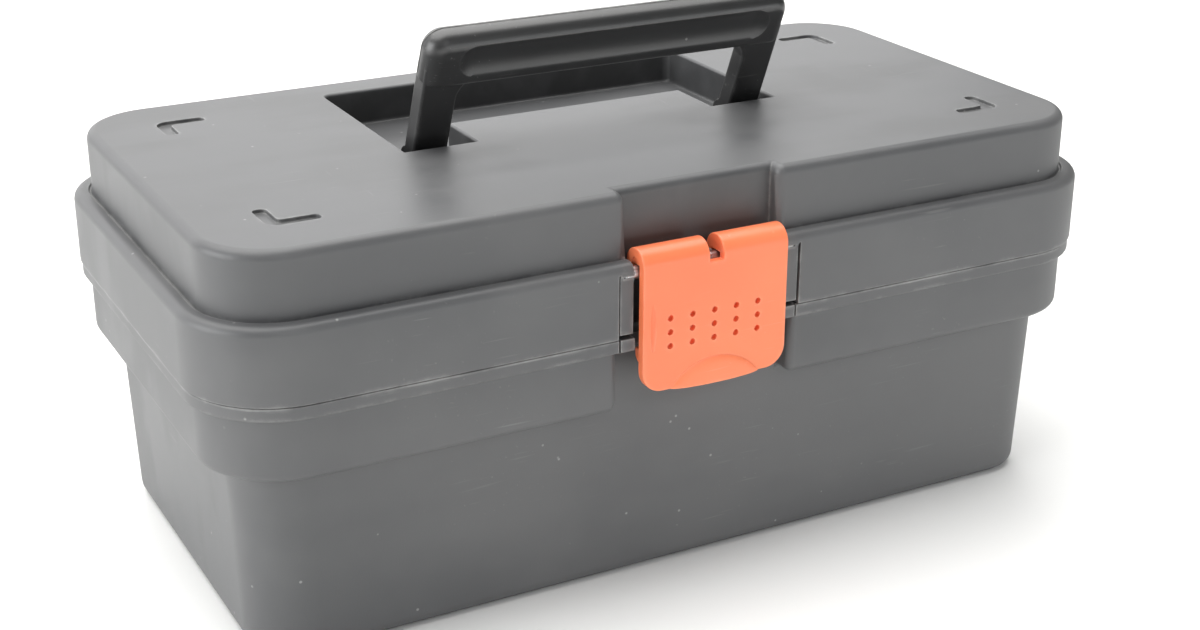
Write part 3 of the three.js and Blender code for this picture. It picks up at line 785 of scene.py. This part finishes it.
def pocket_outline(name, height, grow):
    """The pocket's outline: a wide bay behind, and a leg each side of the tongue in front."""
    bpy.ops.object.select_all(action="DESELECT")
    bpy.ops.mesh.primitive_plane_add(
        size=1,
        location=(0, (POCKET_BACK + NOTCH_FRONT) / 2, height),
        rotation=(math.pi, 0, 0),
    )
    outline = bpy.context.object
    outline.name = name
    outline.scale = (2 * (POCKET_HALF + grow), POCKET_BACK - NOTCH_FRONT + 2 * grow, 1)
    settle()
    bpy.ops.object.mode_set(mode="EDIT")
    for place, across in (
        ((-TONGUE_HALF + grow, 0, 0), (1, 0, 0)),
        ((TONGUE_HALF - grow, 0, 0), (1, 0, 0)),
        ((0, TONGUE_BACK - grow, 0), (0, 1, 0)),
    ):
        score(place, across)
    pick_faces(
        outline,
        lambda face: abs(face.center.x) < TONGUE_HALF - grow and face.center.y < TONGUE_BACK - grow,
    )
    bpy.ops.mesh.delete(type="FACE")
    bpy.ops.mesh.select_all(action="SELECT")
    bpy.ops.mesh.dissolve_limited(angle_limit=0.01)
    bpy.ops.mesh.select_all(action="DESELECT")
    bpy.ops.mesh.select_mode(type="VERT")
    bpy.ops.object.mode_set(mode="OBJECT")
    for point in outline.data.vertices:
        point.select = point.co.y > TONGUE_BACK - 1 * MM
    bpy.ops.object.mode_set(mode="EDIT")
    bpy.ops.mesh.bevel(offset=POCKET_CORNER, segments=6, affect="VERTICES")
    bpy.ops.mesh.select_mode(type="FACE")
    bpy.ops.mesh.select_all(action="SELECT")
    return outline


pocket = pocket_outline("handle_pocket", LID_TOP + 1 * MM, POCKET_ROUND)
pocket_lip = [
    (POCKET_ROUND - across, LID_TOP - POCKET_ROUND + up)
    for across, up in swell((0, 0), (POCKET_ROUND, POCKET_ROUND))
]
foot_from = (POCKET_ROUND, POCKET_FLOOR + POCKET_FOOT)
draw_tiers(
    [(0, LID_TOP + 1 * MM), (0, LID_TOP)]
    + pocket_lip[::-1]
    + [foot_from]
    + swell(foot_from, (POCKET_ROUND + POCKET_FOOT, POCKET_FLOOR))[1:]
)

lid_room = shell_outline("lid_room", WALL, LID_BOTTOM - 1 * MM, looks_down=False)
draw_tiers(
    [(WALL, LID_BOTTOM - 1 * MM), (WALL, LEDGE - WALL)]
    + [(UPPER_INSET + WALL, LEDGE - WALL + 0.1 * MM), (UPPER_INSET + WALL, LID_TOP - WALL)]
)
pocket_tub = pocket_outline("pocket_underside", LID_TOP + 1 * MM, WALL)
draw_tiers([(0, LID_TOP + 1 * MM), (0, POCKET_FLOOR - WALL)])
work(lid_room, pocket_tub, "DIFFERENCE")
cut(
    lid_room,
    "latch_housing",
    (-CHEEK_OUT, -HALF_DEPTH - 5 * MM, LID_BOTTOM - 5 * MM),
    (CHEEK_OUT, RECESS_BACK + WALL, LID_TOP),
)
work(lid, lid_room, "DIFFERENCE")
work(lid, pocket, "DIFFERENCE")

# cheeks beside the latch: set back a little, slit from the band, and short of the tub's blocks
CHEEK_TOP = 109.6 * MM
CHEEK_FOOT = 90.5 * MM
CHEEK_FACE = -84.5 * MM
CHEEK_SLIT_BACK = -82.6 * MM
CHEEK_FOOT_BACK = -79 * MM
cheek_in, slit_out = RECESS_HALF - 1 * MM, CHEEK_OUT + 0.45 * MM
for side in (-1, 1):
    for inner, outer, back, high in (
        (cheek_in, CHEEK_OUT, CHEEK_FACE, CHEEK_TOP),
        (CHEEK_OUT - 0.05 * MM, slit_out, CHEEK_SLIT_BACK, CHEEK_TOP + 0.6 * MM),
        (cheek_in, slit_out, CHEEK_FOOT_BACK, CHEEK_FOOT),
    ):
        across = sorted((side * inner, side * outer))
        low_corner = (across[0], -HALF_DEPTH - 1 * MM, LID_BOTTOM - 1 * MM)
        cut(lid, "cheek_cut", low_corner, (across[1], back, high))

# lug at the middle of the latch rod, and the rod's blind seats in the cheeks
LUG_HALF = 1.8 * MM
ROD_BORE = 2.25 * MM
ROD_SEAT = CHEEK_OUT - 1.2 * MM
lug_low = (-LUG_HALF, latch_line.y + 0.6 * MM, latch_line.z - 2.3 * MM)
lug_high = (LUG_HALF, RECESS_BACK + 1 * MM, latch_line.z + 2.3 * MM)
work(lid, block("rod_lug", lug_low, lug_high), "UNION")
work(lid, rod("rod_bore", ROD_BORE, -ROD_SEAT, ROD_SEAT, latch_line, 32), "DIFFERENCE")

# bores for the two handle pins, across each leg of the pocket
PIN_IN = TONGUE_HALF - WALL - 1 * MM
PIN_OUT = POCKET_HALF + WALL + 1 * MM
for near_x, far_x in ((-PIN_OUT, -PIN_IN), (PIN_IN, PIN_OUT)):
    work(lid, rod("handle_pin_bore", ROD_BORE, near_x, far_x, handle_line, 32), "DIFFERENCE")

# a shallow L pressed into the top near each corner
MARK_END = 115 * MM
MARK_SIDE = 131.5 * MM
MARK_FOOT = 42 * MM
MARK_FRONT = 57.5 * MM
MARK_WIDE = 4.2 * MM
MARK_DEEP = 1.3 * MM
mark = block(
    "corner_mark",
    (MARK_END, MARK_FRONT - MARK_WIDE, LID_TOP - MARK_DEEP),
    (MARK_SIDE, MARK_FRONT, LID_TOP + 1 * MM),
)
bpy.ops.object.mode_set(mode="EDIT")
score((MARK_SIDE - MARK_WIDE, 0, 0), (1, 0, 0))
pick_faces(mark, lambda face: face.normal.y < -0.9 and face.center.x > MARK_SIDE - MARK_WIDE)
leg_run = MARK_FOOT - (MARK_FRONT - MARK_WIDE)
pull((0, leg_run, 0))
bpy.ops.object.mode_set(mode="OBJECT")


def twin(piece, name):
    """A copy of a piece with its own mesh."""
    copied = piece.copy()
    copied.data = piece.data.copy()
    copied.name = name
    scene.collection.objects.link(copied)
    return copied


def upright_at(x, y):
    """A test for the upright edge at one place."""
    place = Vector((x, y))
    return lambda start, end: all((p.xy - place).length < ON_FACE for p in (start, end))


round_edges(mark, upright_at(MARK_SIDE, MARK_FRONT), 5.5 * MM, 6)
round_edges(mark, upright_at(MARK_SIDE - MARK_WIDE, MARK_FRONT - MARK_WIDE), 2 * MM, 4)
for end_x, end_y in (
    (MARK_END, MARK_FRONT),
    (MARK_END, MARK_FRONT - MARK_WIDE),
    (MARK_SIDE, MARK_FOOT),
    (MARK_SIDE - MARK_WIDE, MARK_FOOT),
):
    round_edges(mark, upright_at(end_x, end_y), 1.6 * MM, 4)
for flip_x in (1, -1):
    for flip_y in (1, -1):
        cutter = twin(mark, "mark_cutter")
        cutter.scale = (flip_x, flip_y, 1)
        pick_alone(cutter)
        settle()
        bpy.ops.object.mode_set(mode="EDIT")
        face_outwards()
        work(lid, cutter, "DIFFERENCE")
bpy.data.objects.remove(mark)

for centre in HINGE_CENTRES:
    start_x, end_x = centre - LID_KNUCKLE_HALF, centre + LID_KNUCKLE_HALF
    work(lid, knuckle("lid_knuckle", start_x, end_x, LID_BOTTOM, SEAM + 3.9 * MM), "UNION")
    pin_bore = rod("pin_bore", PIN_BORE, centre - HINGE_HALF, centre + HINGE_HALF, hinge_line, 24)
    work(lid, pin_bore, "DIFFERENCE")
part_rings(lid)
finish_moulding(lid, 0.35 * MM)

# painted shade: the colour of the pocket walls and the latch recess walls is darkened to stand for the
# shade inside them, broken into soft patches
PAINTED_SHADE_TONE = (0.45, 0.45, 0.45, 1)
painted_shade, painted_shade_in, painted_shade_out = new_group("wall_grime", [("Where", VECTOR, None)], ["Mask"])
place_in = add_node(painted_shade, "ShaderNodeSeparateXYZ")
feed(painted_shade, place_in.inputs["Vector"], painted_shade_in["Where"])


def zone(low, high, soft):
    """1 inside a box between two corners, fading out over soft at its sides."""
    inside = 1.0
    for axis, near, far in zip("XYZ", low, high):
        rising = ramp(painted_shade, place_in.outputs[axis], near, near + soft)
        falling = ramp(painted_shade, place_in.outputs[axis], far - soft, far, 1.0, 0.0)
        inside = maths(painted_shade, "MULTIPLY", inside, maths(painted_shade, "MULTIPLY", rising, falling))
    return inside


pocket_shade = zone(
    (-POCKET_HALF - 1 * MM, NOTCH_FRONT - 1 * MM, POCKET_FLOOR - 0.2 * MM),
    (POCKET_HALF + 1 * MM, POCKET_BACK + 1 * MM, LID_TOP - 0.2 * MM),
    0.8 * MM,
)
recess_shade = zone(
    (-RECESS_HALF - 1.5 * MM, RECESS_BACK - 3.5 * MM, LID_BOTTOM),
    (RECESS_HALF + 1.5 * MM, RECESS_BACK + 1.5 * MM, LID_TOP - 0.5 * MM),
    1.2 * MM,
)
shade_patches = ramp(painted_shade, noise(painted_shade, painted_shade_in["Where"], 70.0, detail=4.0), 0.3, 0.65, 0.6, 1.0)
shaded_zones = maths(painted_shade, "MAXIMUM", pocket_shade, maths(painted_shade, "MULTIPLY", recess_shade, 0.5))
feed(painted_shade, painted_shade_out["Mask"], maths(painted_shade, "MULTIPLY", shaded_zones, shade_patches, True))

grey_tree = grey_plastic.node_tree
grey_shader = grey_tree.nodes["Principled BSDF"]
unshaded_colour = grey_shader.inputs["Base Color"].links[0].from_socket
# painted shade: the grey plastic's colour is multiplied darker inside the pocket and the latch recess
painted_shade_here = add_node(grey_tree, "ShaderNodeGroup", node_tree=painted_shade)
feed(grey_tree, painted_shade_here.inputs["Where"], add_node(grey_tree, "ShaderNodeTexCoord").outputs["Object"])
shade_painted_colour = blend(grey_tree, painted_shade_here.outputs["Mask"], unshaded_colour, PAINTED_SHADE_TONE, "MULTIPLY")
feed(grey_tree, grey_shader.inputs["Base Color"], shade_painted_colour)
dress(lid, grey_plastic, "lid", "grey_plastic", "lid_shell")

# ---- Pins and latch rod ----
# Drawn steel pins pressed into their bores: two in the rear hinge, two under the handle's arms,
# and one rod across the front for the latch. Each end is turned to a blunt point.
steel = bpy.data.materials.new("drawn_steel")
steel.use_nodes = True
steel_tree = steel.node_tree
steel_shader = steel_tree.nodes["Principled BSDF"]
steel_where = add_node(steel_tree, "ShaderNodeTexCoord").outputs["Object"]
drawn = noise(steel_tree, steel_where, 900.0, detail=2.0, squeeze=(0.05, 1.0, 1.0))
tarnish = noise(steel_tree, steel_where, 160.0, detail=4.0, roughness=0.6)
STEEL_BRIGHT = (0.44, 0.44, 0.45, 1)
STEEL_DULL = (0.27, 0.26, 0.25, 1)
steel_tone = blend(steel_tree, ramp(steel_tree, tarnish, 0.45, 0.7), STEEL_BRIGHT, STEEL_DULL)
feed(steel_tree, steel_shader.inputs["Base Color"], steel_tone)
steel_shader.inputs["Metallic"].default_value = 1.0
feed(steel_tree, steel_shader.inputs["Roughness"], ramp(steel_tree, tarnish, 0.3, 0.8, 0.24, 0.42))
feed(steel_tree, steel_shader.inputs["Normal"], bump(steel_tree, drawn, 0.3, 0.1 * MM))


def steel_pin(name, node, body):
    """A round pin the size of its CAD node, with its ends turned to a blunt point."""
    low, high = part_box(node)
    radius = (high.z - low.z) / 2
    pin = rod(name, radius, low.x, high.x, (low + high) / 2, 48)
    pick_faces(pin, lambda face: abs(face.normal.x) > 0.9)
    bpy.ops.mesh.inset(thickness=radius * 0.55, depth=0)
    bpy.ops.object.mode_set(mode="OBJECT")
    ends = (low.x, high.x)
    round_edges(
        pin,
        lambda a, b: any(abs(a.x - x) < 1e-6 and abs(b.x - x) < 1e-6 for x in ends)
        and min((p.yz - ((low + high) / 2).yz).length for p in (a, b)) > radius * 0.9,
        radius * 0.28,
        3,
    )
    bpy.ops.object.shade_smooth_by_angle(angle=math.radians(30))
    dress(pin, steel, body, "steel", node)
    return pin


for side in ("left", "right"):
    steel_pin(f"hinge_wire_{side}", f"hinge_pin_{side}", "tub")
    steel_pin(f"handle_axle_{side}", f"handle_pin_{side}", "lid")
steel_pin("latch_axle", "latch_rod", "lid")

# ---- Carrying handle ----
# A thick grip on two flat arms, moulded in one piece of black plastic and pinned in the pocket.
# The grip has a finger groove along its front, and stands leant forward against the tongue.
HANDLE_LEAN = 23.4
GRIP_HALF = 66 * MM
GRIP_LOW = 33 * MM
GRIP_HIGH = 51.2 * MM
GRIP_DEEP = 5.5 * MM
GRIP_END_ROUND = 7 * MM
GRIP_ROUND = 5.1 * MM
ARM_OUT = 65.5 * MM
ARM_IN = 53.3 * MM
ARM_DEEP = 3.5 * MM
EYE_RADIUS = 5.2 * MM
EYE_BORE = 2.5 * MM
GROOVE_RADIUS = 11 * MM
GROOVE_DEEP = 1.8 * MM
GROOVE_MIDDLE = 42.2 * MM
GROOVE_START = -60 * MM
GROOVE_END = 63 * MM
NEAR = 0.02 * MM


def grip_bar(name, grow):
    """The grip before its groove is cut, grow thicker all round."""
    half, deep = GRIP_HALF + grow, GRIP_DEEP + grow
    low, high = GRIP_LOW - grow, GRIP_HIGH + grow
    bar = block(name, (-half, -deep, low), (half, deep, high))
    round_edges(
        bar,
        lambda a, b: a.x * b.x > 0
        and all(abs(abs(p.x) - half) < NEAR and abs(p.z - high) < NEAR for p in (a, b)),
        GRIP_END_ROUND,
        10,
    )
    round_edges(
        bar,
        lambda a, b: abs(abs(a.y) - deep) < NEAR
        and abs(a.y - b.y) < NEAR
        and max(a.z, b.z) > low + NEAR,
        GRIP_ROUND,
        8,
    )
    round_edges(bar, lambda a, b: max(a.z, b.z) < low + NEAR, 1.4 * MM, 4)
    return bar


grip = grip_bar("handle_moulding", 0.0)
seam_line = grip_bar("parting_line", 0.12 * MM)
seam_keep = block("seam_keep", (-1, 1.5 * MM, GRIP_LOW + 2 * MM), (1, 1.75 * MM, 1))
work(seam_line, seam_keep, "INTERSECT")
groove = rod("finger_groove", GROOVE_RADIUS, GROOVE_START, GROOVE_END, (0, 0, 0), 64)
round_edges(groove, lambda a, b: abs(a.x - b.x) < NEAR, GROOVE_RADIUS - 0.4 * MM, 12)
groove.location = (0, -GRIP_DEEP + GROOVE_DEEP - GROOVE_RADIUS, GROOVE_MIDDLE)
settle()
work(grip, groove, "DIFFERENCE")
work(grip, seam_line, "UNION")

arms = block("arms", (-ARM_OUT, -ARM_DEEP, 0), (ARM_OUT, ARM_DEEP, GRIP_LOW + 6 * MM))
opening = block("opening", (-ARM_IN, -10 * MM, -1 * MM), (ARM_IN, 10 * MM, GRIP_LOW + 1 * MM))
round_edges(
    opening,
    lambda a, b: a.x * b.x > 0
    and all(abs(abs(p.x) - ARM_IN) < NEAR and p.z > GRIP_LOW for p in (a, b)),
    8 * MM,
    8,
)
work(arms, opening, "DIFFERENCE")
round_edges(
    arms,
    lambda a, b: abs(abs(a.y) - ARM_DEEP) < NEAR and abs(a.y - b.y) < NEAR and max(a.z, b.z) > NEAR,
    0.9 * MM,
    4,
)
for near_x, far_x in ((-ARM_OUT, -ARM_IN), (ARM_IN, ARM_OUT)):
    work(arms, rod("eye", EYE_RADIUS, near_x, far_x, (0, 0, 0), 48), "UNION")
work(grip, arms, "UNION")
for near_x, far_x in ((-ARM_OUT, -ARM_IN), (ARM_IN, ARM_OUT)):
    bore = rod("eye_bore", EYE_BORE, near_x - 1 * MM, far_x + 1 * MM, (0, 0, 0), 40)
    work(grip, bore, "DIFFERENCE")
pick_alone(grip)
grip.rotation_euler = (math.radians(HANDLE_LEAN), 0, 0)
grip.location = handle_line
settle()
finish_moulding(grip, 0.12 * MM)
black_plastic = moulded_plastic(
    "black_handle_plastic",
    colour=(0.011, 0.011, 0.0115),
    cloudy=(0.024, 0.024, 0.0245),
    pale=(0.26, 0.26, 0.25),
    roughness=0.31,
    edges=0.6,
    scratches=0.55,
    specks=0.7,
    waviness=0.5,
)
black_plastic.node_tree.nodes["Principled BSDF"].inputs["Specular IOR Level"].default_value = 0.85
dress(grip, black_plastic, "handle", "black_plastic", "carry_handle")

# ---- Latch ----
# A pull-down catch moulded in orange plastic. Its top curls over the rod, a rib behind it snaps
# under the tub's rim, and the swollen lip at the bottom is where a thumb lifts it.
latch_low, latch_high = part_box("latch")
LATCH_HALF = latch_high.x
LATCH_FOOT = latch_low.z
LATCH_FRONT = -88 * MM
PLATE = 3.0 * MM
CURL_MIDDLE = 111.8 * MM
CURL_STEPS = 20
HOOK_END = 108.6 * MM
NOTCH_HALF = 2.5 * MM
NOTCH_LOW = 110.6 * MM
LATCH_CORNER = 7 * MM
plate_back = LATCH_FRONT + PLATE

latch = block(
    "latch_moulding",
    (-LATCH_HALF, LATCH_FRONT, LATCH_FOOT),
    (LATCH_HALF, plate_back, CURL_MIDDLE),
)
pick_faces(latch, lambda face: face.normal.z > 0.9)
bpy.ops.mesh.spin(
    steps=CURL_STEPS,
    angle=math.pi,
    center=(0, latch_line.y, CURL_MIDDLE),
    axis=(1, 0, 0),
)
pull((0, 0, HOOK_END - CURL_MIDDLE))
bpy.ops.mesh.select_all(action="SELECT")
bpy.ops.mesh.remove_doubles(threshold=1e-6)
face_outwards()
round_edges(
    latch,
    lambda a, b: a.x * b.x > 0
    and all(abs(abs(p.x) - LATCH_HALF) < NEAR and p.z < LATCH_FOOT + NEAR for p in (a, b)),
    LATCH_CORNER,
    12,
)
curl_back = latch_line.y + (latch_line.y - LATCH_FRONT)
for start_x, end_x in ((-LATCH_HALF + 0.5 * MM, 0), (0, LATCH_HALF - 0.5 * MM)):
    fill_low = (start_x, LATCH_FRONT + PLATE / 2, latch_line.z + 2.35 * MM)
    fill_high = (end_x, curl_back - PLATE / 2, CURL_MIDDLE + 3 * MM)
    work(latch, block("curl_fill", fill_low, fill_high), "UNION")
notch = block("notch", (-NOTCH_HALF, -100 * MM, NOTCH_LOW), (NOTCH_HALF, -70 * MM, 125 * MM))
work(latch, notch, "DIFFERENCE")

# a bead behind the plate, each side of the notch, that the rod snaps past
CLIP_LOW = 106.2 * MM
CLIP_HIGH = 108.2 * MM
clip_back = latch_line.y - 1.2 * MM
for start_x, end_x in (
    (-LATCH_HALF + 1 * MM, -NOTCH_HALF - 0.4 * MM),
    (NOTCH_HALF + 0.4 * MM, LATCH_HALF - 1 * MM),
):
    clip = block("rod_clip", (start_x, plate_back - 0.5 * MM, CLIP_LOW), (end_x, clip_back, CLIP_HIGH))
    round_edges(
        clip,
        lambda a, b: min(a.y, b.y) > clip_back - NEAR and abs(a.z - b.z) < NEAR,
        0.7 * MM,
        3,
    )
    work(latch, clip, "UNION")

RIB_REACH = CATCH_FRONT - 0.3 * MM
RIB_HALF = 24.5 * MM
RIB_FOOT = 79.5 * MM
RIB_HEAD = 84.2 * MM
rib = block("catch_rib", (-RIB_HALF, plate_back - 0.5 * MM, RIB_FOOT), (RIB_HALF, RIB_REACH, RIB_HEAD))
round_edges(
    rib,
    lambda a, b: min(a.y, b.y) > RIB_REACH - NEAR and max(a.z, b.z) < RIB_FOOT + NEAR,
    3 * MM,
    4,
)
work(latch, rib, "UNION")
finish_moulding(latch, 0.5 * MM, steps=3, keep_clear=True)

LENS_RADIUS = 20 * MM
LENS_TOP = 79.2 * MM
LENS_SWELL = 3.2 * MM
bpy.ops.object.select_all(action="DESELECT")
bpy.ops.mesh.primitive_uv_sphere_add(
    segments=96,
    ring_count=64,
    radius=1,
    location=(0, LATCH_FRONT, LENS_TOP - LENS_RADIUS),
    rotation=(math.pi / 2, 0, 0),
)
lens = bpy.context.object
lens.scale = (LENS_RADIUS, LENS_RADIUS, LENS_SWELL)
settle()
lens_low = (-LENS_RADIUS - 1 * MM, LATCH_FRONT - 2 * LENS_SWELL, LATCH_FOOT + 0.17 * MM)
lens_keep = block("lens_keep", lens_low, (LENS_RADIUS + 1 * MM, LATCH_FRONT + 1 * MM, LENS_TOP + 1 * MM))
work(lens, lens_keep, "INTERSECT")
work(latch, lens, "UNION")

# a shallow upright scoop near the left edge
SCOOP_PLACE = (-22.3 * MM, LATCH_FRONT - 0.35 * MM, 92.5 * MM)
SCOOP_REACH = (1.1 * MM, 0.9 * MM, 9 * MM)
bpy.ops.object.select_all(action="DESELECT")
bpy.ops.mesh.primitive_uv_sphere_add(segments=32, ring_count=48, radius=1, location=SCOOP_PLACE)
scoop = bpy.context.object
scoop.scale = SCOOP_REACH
settle()
work(latch, scoop, "DIFFERENCE")

# fifteen blind dots for the thumb, drilled from one cutter
DOT_RADIUS = 1.0 * MM
DOT_DEEP = 1.9 * MM
DOT_COLUMNS = 5
DOT_ROWS = 3
DOT_FIRST = (-16.2 * MM, 94.7 * MM)
DOT_PITCH = (7.85 * MM, 4.6 * MM)
bpy.ops.object.select_all(action="DESELECT")
bpy.ops.mesh.primitive_cylinder_add(
    vertices=20,
    radius=DOT_RADIUS,
    depth=2 * DOT_DEEP,
    location=(0, LATCH_FRONT, 0),
    rotation=(math.pi / 2, 0, 0),
)
dot = bpy.context.object
settle()
round_edges(dot, lambda a, b: min(a.y, b.y) > LATCH_FRONT + DOT_DEEP - NEAR, 0.4 * MM, 3)
for row in range(DOT_ROWS):
    for column in range(DOT_COLUMNS):
        drill = twin(dot, "dot_drill")
        drill.location = (DOT_FIRST[0] + column * DOT_PITCH[0], 0, DOT_FIRST[1] - row * DOT_PITCH[1])
        work(latch, drill, "DIFFERENCE")
bpy.data.objects.remove(dot)
finish_moulding(latch, 0.14 * MM, angle=36)
orange_plastic = moulded_plastic(
    "orange_latch_plastic",
    colour=(0.94, 0.212, 0.088),
    cloudy=(0.95, 0.25, 0.108),
    pale=(1.0, 0.62, 0.48),
    roughness=0.38,
    edges=0.2,
    scratches=0.12,
    specks=0.15,
    waviness=0.35,
    streaks=0.2,
)
dress(latch, orange_plastic, "latch", "orange_plastic", "latch")

# ---- Lift-out tray ----
# A thin pale tray that rests on the tub's inner ledge. A wall along its middle rises into a
# handle with a finger slot, and pairs of ribs on the walls take the small cross dividers.
tray_low, tray_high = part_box("lift_tray")
TRAY_LOW_HALF_X = 144.5 * MM
TRAY_LOW_HALF_Y = 69 * MM
TRAY_FLOOR = tray_low.z
TRAY_RIM = 86 * MM
TRAY_SEAT = BAND_LOW + WALL + 0.3 * MM
TRAY_WALL = 2 * MM
TRAY_CORNER = 15 * MM
TRAY_RIM_CORNER = 21 * MM
TRAY_HALF_X = tray_high.x
TRAY_HALF_Y = tray_high.y
GRIP_TOP = tray_high.z
RAISED_HALF = 55 * MM
TRAY_GRIP_HALF = 42 * MM
SLOT_HALF = 36 * MM
SLOT_LOW = 84 * MM
SLOT_HIGH = GRIP_TOP - 5 * MM


def tray_shell(name, thin, bottom, top):
    """The tray's outer form, or with thin its inside: an upper part over a smaller lower part."""
    upper = round_outline(
        name, TRAY_HALF_X - thin, TRAY_HALF_Y - thin, TRAY_RIM_CORNER - thin, top, looks_down=True
    )
    draw_tiers([(0, top), (0, TRAY_SEAT + thin)])
    lower = round_outline(
        "lower", TRAY_LOW_HALF_X - thin, TRAY_LOW_HALF_Y - thin, TRAY_CORNER - thin, top, looks_down=True
    )
    draw_tiers([(0, top)] + swell((0, bottom + 2 * MM), (2 * MM, bottom)))
    work(upper, lower, "UNION")
    return upper


tray = tray_shell("tray_moulding", 0.0, TRAY_FLOOR, TRAY_RIM)
work(tray, tray_shell("tray_room", TRAY_WALL, TRAY_FLOOR + TRAY_WALL, TRAY_RIM + 1 * MM), "DIFFERENCE")
middle = block(
    "middle_wall",
    (-TRAY_LOW_HALF_X + 1 * MM, -1 * MM, TRAY_FLOOR + 1 * MM),
    (TRAY_LOW_HALF_X - 1 * MM, 1 * MM, TRAY_RIM - 3 * MM),
)
raised_low = (-RAISED_HALF, -1 * MM, TRAY_RIM - 6 * MM)
raised = block("raised_grip", raised_low, (RAISED_HALF, 1 * MM, GRIP_TOP))
round_edges(
    raised,
    lambda a, b: a.x * b.x > 0
    and all(abs(abs(p.x) - RAISED_HALF) < NEAR and p.z > TRAY_RIM for p in (a, b)),
    13 * MM,
    10,
)
work(middle, raised, "UNION")
grip_low = (-TRAY_GRIP_HALF, -4 * MM, SLOT_HIGH)
grip_top = block("grip_top", grip_low, (TRAY_GRIP_HALF, 4 * MM, GRIP_TOP))
round_edges(grip_top, lambda a, b: True, 1.2 * MM, 3)
work(middle, grip_top, "UNION")
slot_floor = (-SLOT_HALF, -10 * MM, SLOT_LOW)
finger_slot = block("finger_slot", slot_floor, (SLOT_HALF, 10 * MM, SLOT_HIGH))
round_edges(finger_slot, lambda a, b: abs(a.y - b.y) > 1 * MM, 5 * MM, 6)
work(middle, finger_slot, "DIFFERENCE")
work(tray, middle, "UNION")

SLOT_PITCH = 36 * MM
TRAY_SLOTS = [step * SLOT_PITCH for step in range(-3, 4)]
DIVIDER_HALF = 0.8 * MM
DIVIDER_TOP = 80 * MM
rib_from = DIVIDER_HALF + 0.3 * MM
wall_y = TRAY_LOW_HALF_Y - TRAY_WALL
ribs = None
for slot_x in TRAY_SLOTS:
    for side in (-1, 1):
        across = sorted((slot_x + side * rib_from, slot_x + side * (rib_from + 1.2 * MM)))
        for near_y, far_y, top in (
            (-wall_y - 0.5 * MM, -wall_y + 1.8 * MM, BAND_LOW + WALL + 1 * MM),
            (-2.8 * MM, 2.8 * MM, DIVIDER_TOP),
            (wall_y - 1.8 * MM, wall_y + 0.5 * MM, BAND_LOW + WALL + 1 * MM),
        ):
            rib = block("tray_rib", (across[0], near_y, TRAY_FLOOR + 1 * MM), (across[1], far_y, top))
            if ribs is None:
                ribs = rib
            else:
                rib.select_set(True)
                ribs.select_set(True)
                bpy.context.view_layer.objects.active = ribs
                bpy.ops.object.join()
work(tray, ribs, "UNION")
part_rings(tray)
finish_moulding(tray, 0.25 * MM)
tray_plastic = moulded_plastic(
    "pale_tray_plastic",
    colour=(0.43, 0.43, 0.41),
    cloudy=(0.50, 0.50, 0.48),
    pale=(0.72, 0.72, 0.70),
    roughness=0.42,
    edges=0.3,
    scratches=0.4,
    specks=0.3,
)
dress(tray, tray_plastic, "tray", "tray_plastic", "lift_tray")

# ---- Dividers ----
# Thin plates of the tray's plastic that slide down between the ribs: seven in the tray and two
# in the tub. Each is rounded at its foot, and a tray plate is stepped to follow the wall it meets.
DIVIDER_STEP = TRAY_SEAT + TRAY_WALL + 0.7 * MM
DIVIDER_FOOT_ROUND = 2.4 * MM
plate_edge = wall_y - 0.3 * MM


def finish_plate(plate, foot_round):
    """Rounds a divider's lower corners to clear the floor's fillet, then breaks its edges."""
    low_z = min(point.co.z for point in plate.data.vertices)
    low_y = min(point.co.y for point in plate.data.vertices)
    high_y = max(point.co.y for point in plate.data.vertices)
    step_y = max(p.co.y for p in plate.data.vertices if p.co.z < low_z + NEAR)
    round_edges(
        plate,
        lambda a, b: abs(a.x - b.x) > NEAR
        and max(a.z, b.z) < low_z + NEAR
        and (a.y > step_y - NEAR or (low_y < -10 * MM and a.y < low_y + NEAR and high_y > 10 * MM)),
        foot_round,
        5,
    )
    finish_moulding(plate, 0.45 * MM, steps=3)


plate_low, plate_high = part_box("tray_divider_rear_1")
plate = block("tray_plate", plate_low, (plate_high.x, plate_edge, plate_high.z))
bpy.ops.object.mode_set(mode="EDIT")
score((0, 0, DIVIDER_STEP), (0, 0, 1))
pick_faces(plate, lambda face: face.normal.y > 0.9 and face.center.z > DIVIDER_STEP)
ledge_run = plate_high.y - plate_edge
pull((0, ledge_run, 0))
bpy.ops.object.mode_set(mode="OBJECT")
finish_plate(plate, DIVIDER_FOOT_ROUND)
tray_plates = [f"rear_{number}" for number in (1, 2, 3, 4)] + [f"front_{number}" for number in (1, 2, 3)]
for place_name in tray_plates:
    low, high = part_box(f"tray_divider_{place_name}")
    fitted = twin(plate, f"tray_plate_{place_name}")
    pick_alone(fitted)
    if place_name.startswith("front"):
        fitted.rotation_euler = (0, 0, math.pi)
        fitted.location = (low.x + plate_high.x, 0, 0)
    else:
        fitted.location = (low.x - plate_low.x, 0, 0)
    settle()
    dress(fitted, tray_plastic, "tray", "tray_plastic", f"tray_divider_{place_name}")
bpy.data.objects.remove(plate)

for side in ("left", "right"):
    low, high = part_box(f"tub_divider_{side}")
    tub_plate = block(f"tub_plate_{side}", low, high)
    finish_plate(tub_plate, DIVIDER_FOOT_ROUND)
    dress(tub_plate, tray_plastic, "tub", "tray_plastic", f"tub_divider_{side}")
